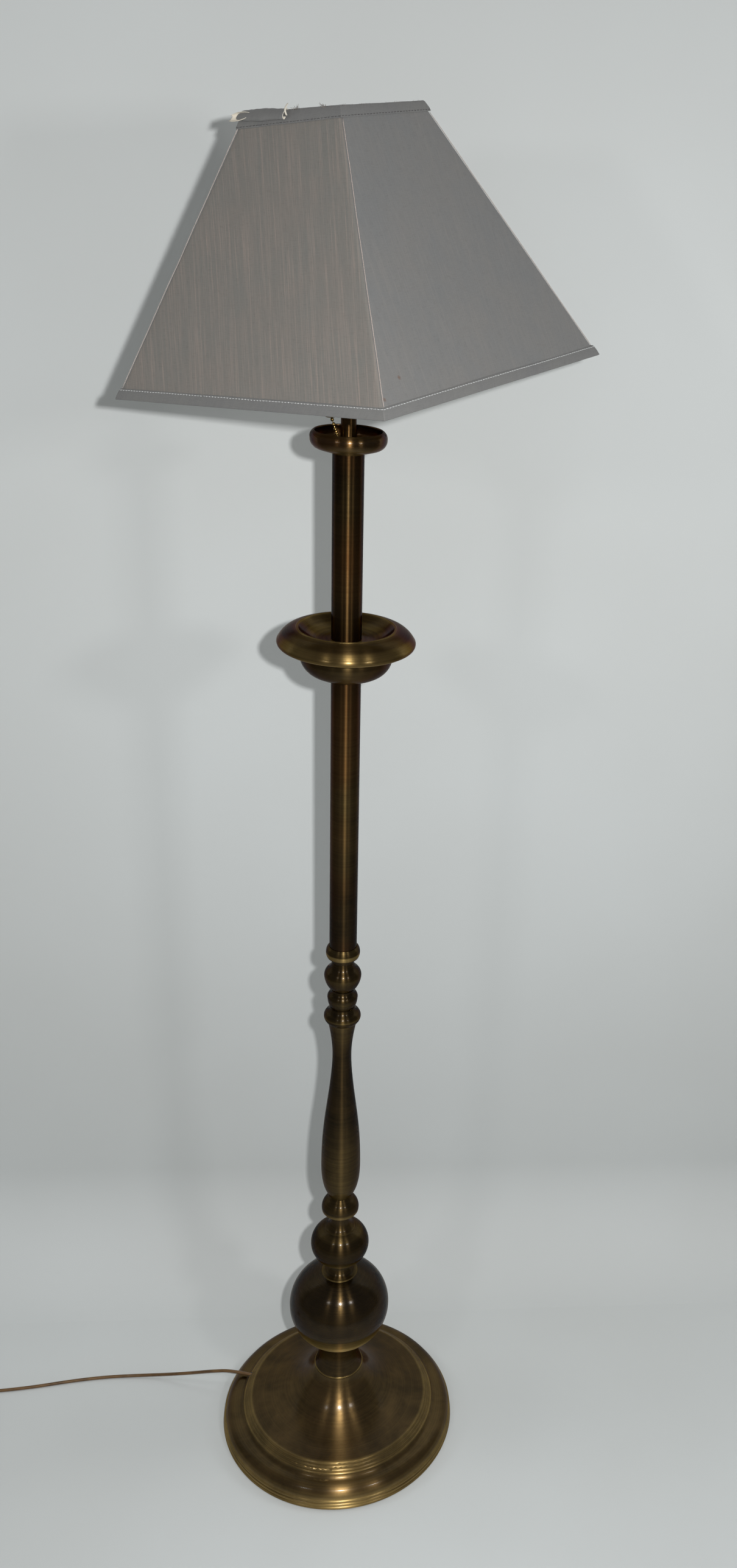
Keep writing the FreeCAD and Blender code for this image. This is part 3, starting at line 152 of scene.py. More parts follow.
# ---- node material kit -----------------------------------------------------------------------
class Kit:
    """A material under construction: short calls that add and join its nodes."""

    def __init__(self, name):
        self.mat = bpy.data.materials.new(name)
        self.mat.use_nodes = True
        self.tree = self.mat.node_tree
        self.shader = self.tree.nodes["Principled BSDF"]
        self.out = self.tree.nodes["Material Output"]
        self.coords = self.tree.nodes.new("ShaderNodeTexCoord")
        self.place = self.coords.outputs["Object"]

    def node(self, kind, **values):
        n = self.tree.nodes.new(kind)
        for key, value in values.items():
            setattr(n, key, value)
        return n

    def link(self, a, b):
        self.tree.links.new(a, b)

    def give(self, socket, value):
        if isinstance(value, bpy.types.NodeSocket):
            self.link(value, socket)
        elif isinstance(value, tuple) and len(value) == 3 and len(socket.default_value) == 4:
            socket.default_value = (*value, 1)
        else:
            socket.default_value = value

    def set(self, **values):
        for key, value in values.items():
            self.give(self.shader.inputs[key.replace("_", " ")], value)

    def math(self, op, a, b=0.0, clamp=False):
        n = self.node("ShaderNodeMath", operation=op, use_clamp=clamp)
        self.give(n.inputs[0], a)
        self.give(n.inputs[1], b)
        return n.outputs[0]

    def mix(self, share, a, b):
        n = self.node("ShaderNodeMix", data_type="RGBA")
        self.give(n.inputs[0], share)
        self.give(n.inputs[6], a)
        self.give(n.inputs[7], b)
        return n.outputs[2]

    def remap(self, value, lo, hi, to_lo=0.0, to_hi=1.0):
        n = self.node("ShaderNodeMapRange")
        for socket, v in zip(n.inputs, (value, lo, hi, to_lo, to_hi)):
            self.give(socket, v)
        return n.outputs[0]

    def noise(self, scale, detail=3.0, rough=0.55, at=None, skew=0.0):
        n = self.node("ShaderNodeTexNoise")
        self.link(at or self.place, n.inputs["Vector"])
        n.inputs["Scale"].default_value = scale
        n.inputs["Detail"].default_value = detail
        n.inputs["Roughness"].default_value = rough
        n.inputs["Distortion"].default_value = skew
        return n.outputs[0]

    def stretched(self, scale, at):
        n = self.node("ShaderNodeMapping")
        self.link(at, n.inputs["Vector"])
        n.inputs["Scale"].default_value = scale
        return n.outputs[0]

    def ramp(self, value, stops):
        """Colour ramp; a stop is (position, grey) or (position, colour)."""
        n = self.node("ShaderNodeValToRGB")
        self.give(n.inputs[0], value)
        band = n.color_ramp
        while len(band.elements) > 1:
            band.elements.remove(band.elements[-1])
        for i, (at, colour) in enumerate(stops):
            e = band.elements[0] if i == 0 else band.elements.new(at)
            e.position = at
            e.color = (*colour, 1) if isinstance(colour, tuple) else (colour, colour, colour, 1)
        return n.outputs[0]

    def bump(self, height, distance, strength):
        n = self.node("ShaderNodeBump")
        self.give(n.inputs["Height"], height)
        n.inputs["Distance"].default_value = distance
        n.inputs["Strength"].default_value = strength
        self.link(n.outputs[0], self.shader.inputs["Normal"])

    def split(self):
        n = self.node("ShaderNodeSeparateXYZ")
        self.link(self.place, n.inputs[0])
        return n.outputs

    def join(self, x, y, z):
        n = self.node("ShaderNodeCombineXYZ")
        for socket, v in zip(n.inputs, (x, y, z)):
            self.give(socket, v)
        return n.outputs[0]

    def radius(self):
        x, y, _ = self.split()
        return self.math("SQRT", self.math("ADD", self.math("MULTIPLY", x, x),
                                           self.math("MULTIPLY", y, y)))


def srgb(*rgb):
    """Linear colour of 0-255 screen values."""
    return tuple((c / 255 / 12.92) if c <= 10 else ((c / 255 + 0.055) / 1.055) ** 2.4 for c in rgb)


def dress(material, *names):
    """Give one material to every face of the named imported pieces."""
    for name in names:
        slots = NODES[name].data.materials
        if len(slots) == 0:
            slots.append(material)
        for i in range(len(slots)):
            slots[i] = material
        for p in NODES[name].data.polygons:
            p.material_index = 0


# ---- brass -----------------------------------------------------------------------------------
PATINA = (0.054, 0.034, 0.0135)
BROWN = (0.112, 0.068, 0.026)
UMBER = (0.145, 0.088, 0.032)
COPPER = (0.20, 0.075, 0.022)
SPECK = (0.03, 0.022, 0.014)
GOLD = (0.46, 0.32, 0.115)
BRIGHT = (0.74, 0.56, 0.26)
BASE_R = 0.141           # radii of the base: edge, inner foot bead, rolled rim, groove
FOOT_R = 0.1376
RIM_R, GROOVE_R = 0.1335, 0.124
BAND_R = (0.1056, 0.1163)     # the four ridges lie between these
BELL_R, COLLAR_R, SEAT_R = 0.103, 0.032, 0.029


def brass(name, along, low, high, wear, polish=0.34, warm=0.0, tone=0.42, coat=0.25):
    """Bronzed brass, turned on a lathe.

    wear lists how bare the brass is, as (share of the way, 0 to 1), along the height or the
    radius; polish is the roughness, warm the coppery patches, tone the depth of the bronzing.
    """
    k = Kit(name)
    r = k.radius()
    _, _, z = k.split()
    line = k.join(r, z, 0.0)
    fine = k.noise(2600, 2.0, 0.7, at=line)
    broad = k.noise(420, 3.0, 0.6, at=line)
    mottle = k.noise(28, 4.0, 0.6, skew=0.4)
    speck = k.noise(900, 2.0, 0.6)
    t = k.remap(z if along == "z" else r, low, high)
    dark, mid, light = (tuple(c * tone for c in v) for v in (PATINA, BROWN, UMBER))
    base = k.mix(k.remap(mottle, 0.35, 0.68), dark, mid)
    base = k.mix(k.remap(broad, 0.45, 0.75, 0.0, 0.35), base, light)
    if warm:
        base = k.mix(k.remap(k.noise(9, 2.0), 0.4, 0.62, 0.0, warm), base,
                     tuple(c * tone for c in COPPER))
    worn = k.ramp(t, wear)
    worn = k.math("MULTIPLY", worn, k.remap(broad, 0.25, 0.6, 0.55, 1.1), clamp=True)
    worn = k.math("MULTIPLY", worn, k.remap(mottle, 0.3, 0.6, 0.7, 1.1), clamp=True)
    colour = k.mix(worn, base, GOLD)
    colour = k.mix(k.remap(worn, 0.72, 1.0, 0.0, 0.5), colour, BRIGHT)
    colour = k.mix(k.remap(speck, 0.62, 0.78, 0.0, 0.35), colour, SPECK)
    rough = k.math("ADD", k.remap(fine, 0.3, 0.7, polish - 0.05, polish + 0.07),
                   k.remap(mottle, 0.35, 0.7, 0.05, -0.03))
    rough = k.math("ADD", rough, k.math("MULTIPLY", worn, 0.11))
    tangent = k.node("ShaderNodeTangent", direction_type="RADIAL", axis="Z")
    k.set(Base_Color=colour, Metallic=1.0, Roughness=rough, Anisotropic=0.92,
          Anisotropic_Rotation=0.25, Tangent=tangent.outputs[0], Coat_Weight=coat,
          Coat_Roughness=0.14, Coat_IOR=1.35, Specular_Tint=(0.30, 0.22, 0.14))
    height = k.math("ADD", k.math("MULTIPLY", fine, 0.6), k.math("MULTIPLY", broad, 0.8))
    k.bump(height, 0.00006, 0.6)
    return k.mat


def dress_brass(node, wear, along="z", **more):
    """Own brass for one turned piece; along is z for its height or r for its radius."""
    low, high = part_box(node)
    if along == "z":
        a, b = low.z, high.z
    else:
        a, b = 0.0, max(high.x, -low.x)
    dress(brass("brass_" + node, along, a, b, wear, **more), node)


def dress_column():
    foot, rim, groove, bell, collar, seat = (
        r / BASE_R for r in (FOOT_R, RIM_R, GROOVE_R, BELL_R, COLLAR_R, SEAT_R))
    ridge_in, ridge_out = (r / BASE_R for r in BAND_R)
    stops = [(0.0, 0.1), (seat, 0.1), (collar, 0.04), (bell, 0.03), (ridge_in - 0.004, 0.1),
             (ridge_in + 0.004, 0.34), (ridge_out - 0.003, 0.34), (ridge_out + 0.006, 0.05),
             (groove, 0.12), (rim, 0.02), (foot - 0.002, 0.25), (foot + 0.004, 0.7), (1.0, 0.6)]
    dress_brass("base_shell", stops, along="r", polish=0.33, tone=0.95, coat=0.4)
    dress_brass("base_cove", [(0, 0.8), (0.035, 0.6), (0.06, 0.03), (0.8, 0.03), (1, 0.15)],
                polish=0.30, tone=0.6)
    dress_brass("large_ball", [(0, 0.4), (0.05, 0.95), (0.2, 1.0), (0.32, 0.5), (0.42, 0.08),
                               (0.5, 0.01), (1, 0.01)], polish=0.27, tone=0.36, coat=0.45)
    dress_brass("ball_neck", [(0, 0.35), (0.15, 0.04), (0.9, 0.08), (1, 0.3)])
    dress_brass("small_ball", [(0, 0.3), (0.1, 0.45), (0.26, 0.25), (0.4, 0.02), (0.85, 0.02),
                               (0.93, 0.12), (1, 0.05)], polish=0.3, tone=0.34)
    dress_brass("small_neck", [(0, 0.15), (0.1, 0.05), (1, 0.06)])
    dress_brass("bead_collar", [(0, 0.4), (0.06, 0.7), (0.16, 0.3), (0.3, 0.05), (1, 0.05)])
    dress_brass("baluster", [(0, 0.08), (0.05, 0.14), (0.25, 0.12), (0.4, 0.05), (0.6, 0.02),
                             (0.85, 0.02), (1, 0.12)], polish=0.38, tone=0.34)
    dress_brass("bead_lower", [(0, 0.04), (0.34, 0.04), (0.42, 0.25), (0.5, 0.05), (1, 0.02)],
                tone=0.34)
    dress_brass("bead_middle", [(0, 0.02), (0.42, 0.08), (0.6, 0.03), (1, 0.02)], tone=0.34)
    dress_brass("bead_upper", [(0, 0.02), (0.42, 0.04), (0.55, 0.10), (0.7, 0.02), (1, 0.02)],
                tone=0.34)
    dress_brass("tube_collar", [(0, 0.03), (0.44, 0.04), (0.5, 0.5), (0.66, 0.45), (0.72, 0.06),
                                (1, 0.1)], tone=0.34)
    dress_brass("lower_tube", [(0, 0.0), (0.25, 0.02), (0.45, 0.09), (0.75, 0.07), (0.95, 0.02),
                               (1, 0.02)], polish=0.37, warm=0.8, tone=0.30)
    dress_brass("upper_tube", [(0, 0.02), (0.3, 0.05), (0.6, 0.03), (1, 0.01)], polish=0.37,
                warm=0.8, tone=0.27)
    dress_brass("pan_bowl", [(0, 0.06), (0.2, 0.08), (0.75, 0.05), (0.93, 0.2), (1, 0.4)],
                polish=0.32, warm=0.5, tone=0.36)
    dress_brass("drip_pan", [(0, 0.5), (0.05, 0.6), (0.1, 0.25), (0.5, 0.3), (0.7, 0.08),
                             (0.93, 0.12), (1, 0.5)], polish=0.30, warm=0.2, tone=0.5)
    dress_brass("candle_cup", [(0, 0.35), (0.2, 0.3), (0.4, 0.12), (0.6, 0.03), (0.92, 0.04),
                               (1, 0.15)], polish=0.27, warm=0.8, tone=0.4, coat=0.4)
    dress_brass("cup_spacer", [(0, 0.08), (1, 0.05)], warm=0.6)
    dress_brass("holder_cap", [(0, 0.2), (0.3, 0.1), (0.92, 0.08), (1, 0.3)])
    dress_brass("pull_guide", [(0, 0.6), (0.3, 0.35), (1, 0.12)])
    dress_brass("holder_shell", [(0, 0.4), (0.1, 0.12), (1, 0.08)])


# ---- the other hard materials ----------------------------------------------------------------
def plain(name, dark, light, rough, metal, scale, depth, **more):
    """Cast, moulded or drawn stuff: a broad and a fine noise in colour, gloss and bump."""
    k = Kit(name)
    broad = k.noise(scale, 4.0, 0.6)
    fine = k.noise(scale * 9, 3.0, 0.6)
    both = k.math("ADD", k.math("MULTIPLY", broad, 0.65), k.math("MULTIPLY", fine, 0.35))
    k.set(Base_Color=k.ramp(both, [(0.35, dark), (0.65, light)]), Metallic=metal,
          Roughness=k.remap(fine, 0.3, 0.7, rough - 0.06, rough + 0.08), **more)
    k.bump(both, depth, 0.7)
    return k.mat


def drawn_wire(name, dark, light, rough, metal):
    """Wire with the lines of the drawing plate and dull patches."""
    k = Kit(name)
    lines = k.noise(1500, 2.0, 0.6)
    patch = k.noise(60, 4.0, 0.65)
    k.set(Base_Color=k.mix(k.remap(patch, 0.35, 0.65), dark, light), Metallic=metal,
          Roughness=k.math("ADD", k.remap(lines, 0.3, 0.7, rough - 0.05, rough + 0.08),
                           k.remap(patch, 0.3, 0.7, 0.08, 0.0)))
    k.bump(lines, 0.00003, 0.6)
    return k.mat


def felt():
    """Green baize under the base."""
    k = Kit("felt")
    hairs = k.noise(2200, 4.0, 0.75, skew=1.2)
    broad = k.noise(90, 3.0)
    k.set(Base_Color=k.mix(k.remap(broad, 0.3, 0.7), (0.012, 0.03, 0.016), (0.03, 0.055, 0.032)),
          Roughness=0.95, Sheen_Weight=0.4, Sheen_Roughness=0.5)
    k.bump(hairs, 0.0004, 0.8)
    return k.mat


def frosted():
    """Glass of the bulb, etched white inside."""
    k = Kit("frosted_glass")
    fine = k.noise(1400, 3.0, 0.6)
    k.set(Base_Color=k.mix(k.remap(k.noise(40, 2.0), 0.3, 0.7), (0.80, 0.80, 0.77),
                           (0.86, 0.86, 0.84)),
          Roughness=k.remap(fine, 0.3, 0.7, 0.10, 0.2), Transmission_Weight=0.18,
          Coat_Weight=0.6, Coat_Roughness=0.05)
    k.bump(fine, 0.000015, 0.4)
    return k.mat


def cord_cover():
    """Soft gold-brown plastic over a stranded lead, with a faint lay of the strands."""
    k = Kit("cord_cover")
    broad = k.noise(45, 3.0, 0.6)
    fine = k.noise(700, 3.0, 0.6)
    k.set(Base_Color=k.mix(k.remap(broad, 0.35, 0.65), (0.085, 0.043, 0.014),
                           (0.17, 0.092, 0.032)),
          Roughness=k.remap(fine, 0.3, 0.7, 0.28, 0.42), Coat_Weight=0.35, Coat_Roughness=0.12,
          Metallic=0.25)
    k.bump(fine, 0.00006, 0.6)
    return k.mat


def dress_rest():
    dress(plain("cast_iron", (0.035, 0.034, 0.033), (0.075, 0.072, 0.068), 0.62, 0.7, 160,
                0.0003), "base_weight")
    dress(drawn_wire("zinc_steel", (0.34, 0.34, 0.33), (0.55, 0.55, 0.54), 0.35, 1.0),
          "base_washer", "base_nut", "threaded_rod", "lever_pin", "pan_sleeve", "pivot_pins")
    dress(drawn_wire("raw_brass", (0.42, 0.27, 0.09), (0.62, 0.43, 0.17), 0.3, 1.0),
          "screw_liner", "centre_contact", "bulb_cap", "pull_lever", "tube_bushes")
    dress(drawn_wire("chain_brass", (0.20, 0.125, 0.042), (0.46, 0.31, 0.11), 0.27, 1.0),
          "pull_chain")
    dress(drawn_wire("pin_brass", (0.45, 0.31, 0.12), (0.66, 0.48, 0.2), 0.24, 1.0), "plug_pins")
    dress(felt(), "floor_pad")
    dress(plain("porcelain", (0.70, 0.69, 0.65), (0.78, 0.77, 0.73), 0.22, 0.0, 60, 0.00003,
                Coat_Weight=0.5, Coat_Roughness=0.08), "holder_core", "switch_block")
    dress(frosted(), "bulb_glass")
    dress(drawn_wire("frame_wire", (0.50, 0.49, 0.46), (0.66, 0.65, 0.62), 0.42, 0.35),
          "frame_bottom", "frame_top", "frame_struts", "frame_arms", "carrier_wires",
          "carrier_seat", "carrier_ring", "gimbal_ring")
    dress(plain("ring_brass", (0.18, 0.11, 0.04), (0.34, 0.22, 0.08), 0.34, 1.0, 200, 0.00004),
          "shade_rings")
    dress(plain("plug_plastic", (0.050, 0.026, 0.012), (0.085, 0.045, 0.02), 0.38, 0.0, 90,
                0.00008, Coat_Weight=0.2, Coat_Roughness=0.2), "plug_body")
    dress(plain("bush_plastic", (0.02, 0.017, 0.014), (0.04, 0.034, 0.028), 0.5, 0.0, 200,
                0.00005), "cord_grommet", "inner_lead")
    CORD.data.materials.append(cord_cover())
    soften("plug_body", 0.0012, 3)


def soften(node, width, steps):
    m = NODES[node].modifiers.new("soften", "BEVEL")
    m.width = width
    m.segments = steps
    m.limit_method = "ANGLE"
    m.angle_limit = math.radians(25)


# ---- the shade, built upright about its tilt axis and then placed ----------------------------
SHADE_H = 0.200
SHADE_LOW = 0.089
SHADE_BOTTOM = 0.288
SHADE_TOP = 0.098
SHADE_TURN = 3.9
SHADE_TILT = 7.2
PANEL_T = 0.0010
FLAP_T, TONGUE_T, TAB_T = 0.0006, 0.0004, 0.0005
BINDING_T = 0.0008
BOTTOM_BINDING = 0.0080
TOP_BINDING = 0.0085
BAND_EDGE = (0.0072, 0.0088, 0.0106, 0.0080, 0.0072)    # its lower edge at each corner
SEAM_R = 0.0003
SEAM_SHIFT = 0.0012      # the seams lie this far round from the corners
SEAM_END = 0.008         # and end this far below the top, under the band
FRAY_R = 0.00013
TILT_JOINT = next(j for j in frame["joints"] if j["name"] == "shade_tilt")
PLACE = (Matrix.Translation(TILT_JOINT["pos_m"])
         @ Matrix.Rotation(math.radians(SHADE_TURN), 4, "Z")
         @ Matrix.Rotation(math.radians(-SHADE_TILT), 4, "Y"))
SLOPE = (SHADE_BOTTOM - SHADE_TOP) / 2 / SHADE_H
LEAN = math.hypot(1, SLOPE)
SHADE_UP = SHADE_H - SHADE_LOW
GRAIN = (0.1, 0.5, 0.75, -0.3)    # lean of the weave on each panel: 1 follows its seam
PANELS = ["panel_back_right", "panel_back_left", "panel_front_left", "panel_front_right"]


def corner(side, z, out):
    """Corner of the shade at a height, moved out square to its panels."""
    reach = (SHADE_BOTTOM / 2 - SLOPE * (z + SHADE_LOW) + out * LEAN) * math.sqrt(2)
    x, y = [(1, 0), (0, 1), (-1, 0), (0, -1)][side % 4]
    return Vector((reach * x, reach * y, z))


def on_side(side, u, z, out):
    """Point of a panel: u is 0 to 1 from its own corner to the next."""
    return corner(side, z, out).lerp(corner(side + 1, z, out), u)


def side_length(z):
    return SHADE_BOTTOM - 2 * SLOPE * (z + SHADE_LOW)


def new_piece(name, mesh):
    """Object of a mesh made upright about the tilt axis, put in its place on the shade."""
    mesh.transform(PLACE)
    mesh.polygons.foreach_set("use_smooth", [True] * len(mesh.polygons))
    mesh.update()
    piece = bpy.data.objects.new(name, mesh)
    scene.collection.objects.link(piece)
    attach(piece, "shade")
    return piece


def grid_mesh(name, rows, uvs, closed=False):
    """Mesh from rows of points, with a UV map in metres."""
    mesh = bpy.data.meshes.new(name)
    n, m = len(rows), len(rows[0])
    faces = []
    for i in range(n - 1):
        for j in range(m if closed else m - 1):
            jj = (j + 1) % m
            faces.append((i * m + j, i * m + jj, (i + 1) * m + jj, (i + 1) * m + j))
    mesh.from_pydata([p for row in rows for p in row], [], faces)
    layer = mesh.uv_layers.new(name="metres")
    flat = [q for row in uvs for q in row]
    for loop in mesh.loops:
        layer.data[loop.index].uv = flat[loop.vertex_index]
    return mesh


def spread(length, near, step):
    """Shares of a length: close together at both ends, then a regular step."""
    ends = [d / length for d in near]
    count = max(2, int((length - 2 * near[-1]) / step))
    middle = [ends[-1] + (1 - 2 * ends[-1]) * i / count for i in range(1, count)]
    return [0.0] + ends + middle + [1 - e for e in reversed(ends)] + [1.0]


def wave(u, v, seed, scale):
    return noise.noise(Vector((u * scale + seed * 7.3, v * scale - seed * 3.1, seed * 1.7)))


def give_wall(piece, thickness):
    """Thickness inwards; the inside and the cut edges take the second material."""
    wall = piece.modifiers.new("wall", "SOLIDIFY")
    wall.thickness = thickness
    wall.offset = -1
    wall.material_offset = 1
    wall.material_offset_rim = 1


def cloth_panel(side):
    """One stretched panel: outer cloth and backing, rounded at the corners and slightly slack."""
    shares = spread(SHADE_BOTTOM, (0.0008, 0.0018, 0.0032, 0.0055), 0.006)
    heights = spread(SHADE_H, (0.002, 0.006), 0.006)
    rows, uvs = [], []
    for v in heights:
        z = -SHADE_LOW + v * SHADE_H
        row, uv = [], []
        for u in shares:
            edge = min(u, 1 - u) * side_length(z)
            slack = -0.0011 * math.sin(math.pi * u) * math.sin(math.pi * v)
            slack += 0.00045 * wave(u, v, side + 1, 3.0) + 0.00015 * wave(u, v, side + 9, 11.0)
            slack *= min(edge / 0.012, 1)
            round_off = -0.0009 * math.exp(-(edge / 0.0016) ** 2)
            row.append(on_side(side, u, z, slack + round_off))
            uv.append(((u - 0.5) * side_length(z) + GRAIN[side] * SLOPE * (z + SHADE_LOW),
                       (z + SHADE_LOW) * LEAN))
        rows.append(row)
        uvs.append(uv)
    mesh = grid_mesh(PANELS[side].replace("panel", "cloth"), rows, uvs)
    piece = new_piece(mesh.name, mesh)
    give_wall(piece, PANEL_T)
    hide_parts(PANELS[side])
    return piece


def swept(name, profile, wobble, per_side=48):
    """Closed profile of (height, out) swept round the four sides, mitred at the corners."""
    rows, uvs = [], []
    marks = spread(SHADE_BOTTOM, (0.001, 0.003), SHADE_BOTTOM / per_side)
    run = 0.0
    for side in range(4):
        for u in marks[:-1] if side < 3 else marks:
            row, uv = [], []
            for j, (z, out) in enumerate(profile):
                dz, dout = wobble(side, u, j)
                row.append(on_side(side, u, z + dz, out + dout))
                uv.append((run + u * side_length(z), z))
            rows.append(row)
            uvs.append(uv)
        run += side_length(profile[0][0])
    mesh = grid_mesh(name, rows, uvs, closed=True)
    tidy = bmesh.new()
    tidy.from_mesh(mesh)
    bmesh.ops.remove_doubles(tidy, verts=tidy.verts, dist=1e-6)
    bmesh.ops.recalc_face_normals(tidy, faces=tidy.faces)
    tidy.to_mesh(mesh)
    tidy.free()
    return new_piece(name, mesh)


def band_edge(side, u):
    """Height of the upper band's lower edge below the top: it wanders from side to side."""
    return BAND_EDGE[side] + (BAND_EDGE[side + 1] - BAND_EDGE[side]) * u


def bottom_wobble(side, u, j):
    """How far point j of the hem's profile leaves its place, up and out."""
    drift = 0.0004 * wave(u, side, 21, 4.0)
    if j not in (4, 5, 6):
        drift *= 0.15
    return drift, 0.00012 * wave(u, side, 5, 14.0)


def top_wobble(side, u, j):
    """The same for the upper band; its first three points make the wandering edge."""
    if j in (0, 1, 2):
        drift = -(band_edge(side, u) - TOP_BINDING) + 0.0003 * wave(u, side, 31, 6.0)
    else:
        drift = 0.0002 * wave(u, side, 3, 9.0)
    return drift, 0.00015 * wave(u, side, 8, 12.0)


def make_bindings():
    low, high = -SHADE_LOW, -SHADE_LOW + BOTTOM_BINDING
    t = BINDING_T
    hem = swept("hem_bottom", [(low, 0.0), (low - 0.0003, 0.0004), (low + 0.0003, t),
                               (low + 0.004, t + 0.0002), (high - 0.0010, t), (high, 0.0004),
                               (high, 0.0), (low + 0.004, -0.0001)], bottom_wobble)
    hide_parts("binding_bottom")
    top = SHADE_UP
    low = top - TOP_BINDING
    band = swept("band_top", [(low, 0.0), (low, 0.0004), (low + 0.0010, t),
                              (low + 0.004, t + 0.0002), (top - 0.0004, t), (top + 0.0003, 0.0004),
                              (top, 0.0), (low + 0.004, -0.0001)], top_wobble, 24)
    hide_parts("binding_top")
    return hem, band


def thread_mesh(name, paths, radius, sides=5):
    """Thin round threads along short paths, as one mesh."""
    verts, faces = [], []
    for path in paths:
        base = len(verts)
        for i, p in enumerate(path):
            ahead = (path[min(i + 1, len(path) - 1)] - path[max(i - 1, 0)]).normalized()
            side = ahead.orthogonal().normalized()
            other = ahead.cross(side)
            thin = radius * (0.55 if i in (0, len(path) - 1) else 1.0)
            for k in range(sides):
                a = 2 * math.pi * k / sides
                verts.append(p + side * (thin * math.cos(a)) + other * (thin * math.sin(a)))
        for i in range(len(path) - 1):
            for k in range(sides):
                a, b = base + i * sides + k, base + i * sides + (k + 1) % sides
                faces.append((a, b, b + sides, a + sides))
        faces.append(tuple(base + k for k in reversed(range(sides))))
        faces.append(tuple(base + (len(path) - 1) * sides + k for k in range(sides)))
    mesh = bpy.data.meshes.new(name)
    mesh.from_pydata(verts, [], faces)
    return mesh


def stitch_row(name, height, out, pitch, length, radius, lift):
    """Row of sewn stitches round the shade. height(side, u) gives its line."""
    paths = []
    for side in range(4):
        total = side_length(height(side, 0.5))
        count = int(total / pitch)
        for i in range(count):
            u = (i + 0.5) / count
            half = length / 2 / total
            path = []
            for f, rise in ((-1, -0.0001), (-0.6, lift), (0.6, lift), (1, -0.0001)):
                uu = u + half * f
                path.append(on_side(side, uu, height(side, uu) + 0.00008 * random.uniform(-1, 1),
                                    out + rise))
            paths.append(path)
    return new_piece(name, thread_mesh(name, paths, radius))


def hem_line(side, u):
    return -SHADE_LOW + BOTTOM_BINDING - 0.0010 + 0.0002 * wave(u, side, 51, 6.0)


def band_line(side, u):
    return SHADE_UP - band_edge(side, u) + 0.0012


def make_seams():
    """Joins of the cloth up the four corners: the edge of a fold, beside each corner."""
    paths = []
    for side in range(4):
        path = []
        for i in range(61):
            v = i / 60
            z = -SHADE_LOW + BOTTOM_BINDING + v * (SHADE_H - BOTTOM_BINDING - SEAM_END)
            shift = SEAM_SHIFT / side_length(z) * (1 + 0.4 * wave(v, side, 2, 8.0))
            path.append(on_side(side, shift, z, 0.00015 + 0.0001 * wave(v, side, 4, 20.0)))
        paths.append(path)
    return new_piece("corner_seams", thread_mesh("corner_seams", paths, SEAM_R, 6))


def thick_sheet(name, rows, uvs, thickness):
    """Small loose piece of cloth, smoothed."""
    piece = new_piece(name, grid_mesh(name, rows, uvs))
    give_wall(piece, thickness)
    soft = piece.modifiers.new("soft", "SUBSURF")
    soft.levels = soft.render_levels = 1
    return piece


def make_flap():
    """Torn upper edge turned out over the top hoop at the left and rolled under, cream inside."""
    profile = [(-0.0040, -0.0016), (0.0002, -0.0015), (0.0020, -0.0003), (0.0026, 0.0016),
               (0.0019, 0.0036), (0.0000, 0.0050), (-0.0024, 0.0056), (-0.0046, 0.0052),
               (-0.0060, 0.0040), (-0.0062, 0.0025), (-0.0050, 0.0016), (-0.0036, 0.0018)]
    rows, uvs = [], []
    steps = 40
    for i in range(steps + 1):
        u = 0.03 + 0.45 * i / steps
        full = 0.80 + 0.16 * math.sin(math.pi * i / steps) + 0.10 * wave(u, 0, 43, 9.0)
        sink = 0.0012 * (i / steps) ** 2
        row, uv = [], []
        for j, (z, out) in enumerate(profile):
            ragged = 0.0005 * wave(u, j * 0.1, 41, 30.0)
            row.append(on_side(2, u + 0.010 * (j - 5) / 12 * (1 if i == steps else 0.2),
                               SHADE_UP + z * full - sink + ragged, 0.0004 + out * full))
            uv.append((u * SHADE_TOP, z))
        rows.append(row)
        uvs.append(uv)
    flap = thick_sheet("lining_flap", rows, uvs, FLAP_T)
    rows, uvs = [], []
    for i in range(13):
        f = i / 12
        swell = 0.35 + 0.65 * math.sin(math.pi * (0.12 + 0.8 * f))
        row, uv = [], []
        for j in range(9):
            a = math.radians(75 + 215 * j / 8)
            u = -0.02 + 0.17 * f + 0.004 * math.sin(5 * f + j)
            row.append(on_side(2, u,
                               SHADE_UP - 0.0026 + 0.0012 * f + 0.0029 * swell * math.sin(a),
                               0.0052 + 0.0022 * swell * math.cos(a) + 0.0006 * wave(f, j, 3, 4)))
            uv.append((f * 0.016, j * 0.001))
        rows.append(row)
        uvs.append(uv)
    tongue = thick_sheet("lining_tongue", rows, uvs, TONGUE_T)
    rows, uvs = [], []
    for i in range(9):
        f = i / 8
        row, uv = [], []
        for j in range(4):
            g = j / 3
            row.append(on_side(2, 0.484 + 0.020 * g + 0.010 * math.sin(2.4 * f),
                               SHADE_UP + 0.0040 - 0.0078 * f,
                               0.0026 + 0.0028 * math.sin(math.pi * f) + 0.0005 * g))
            uv.append((g * 0.002, f * 0.008))
        rows.append(row)
        uvs.append(uv)
    return flap, tongue, thick_sheet("lining_end", rows, uvs, TAB_T)


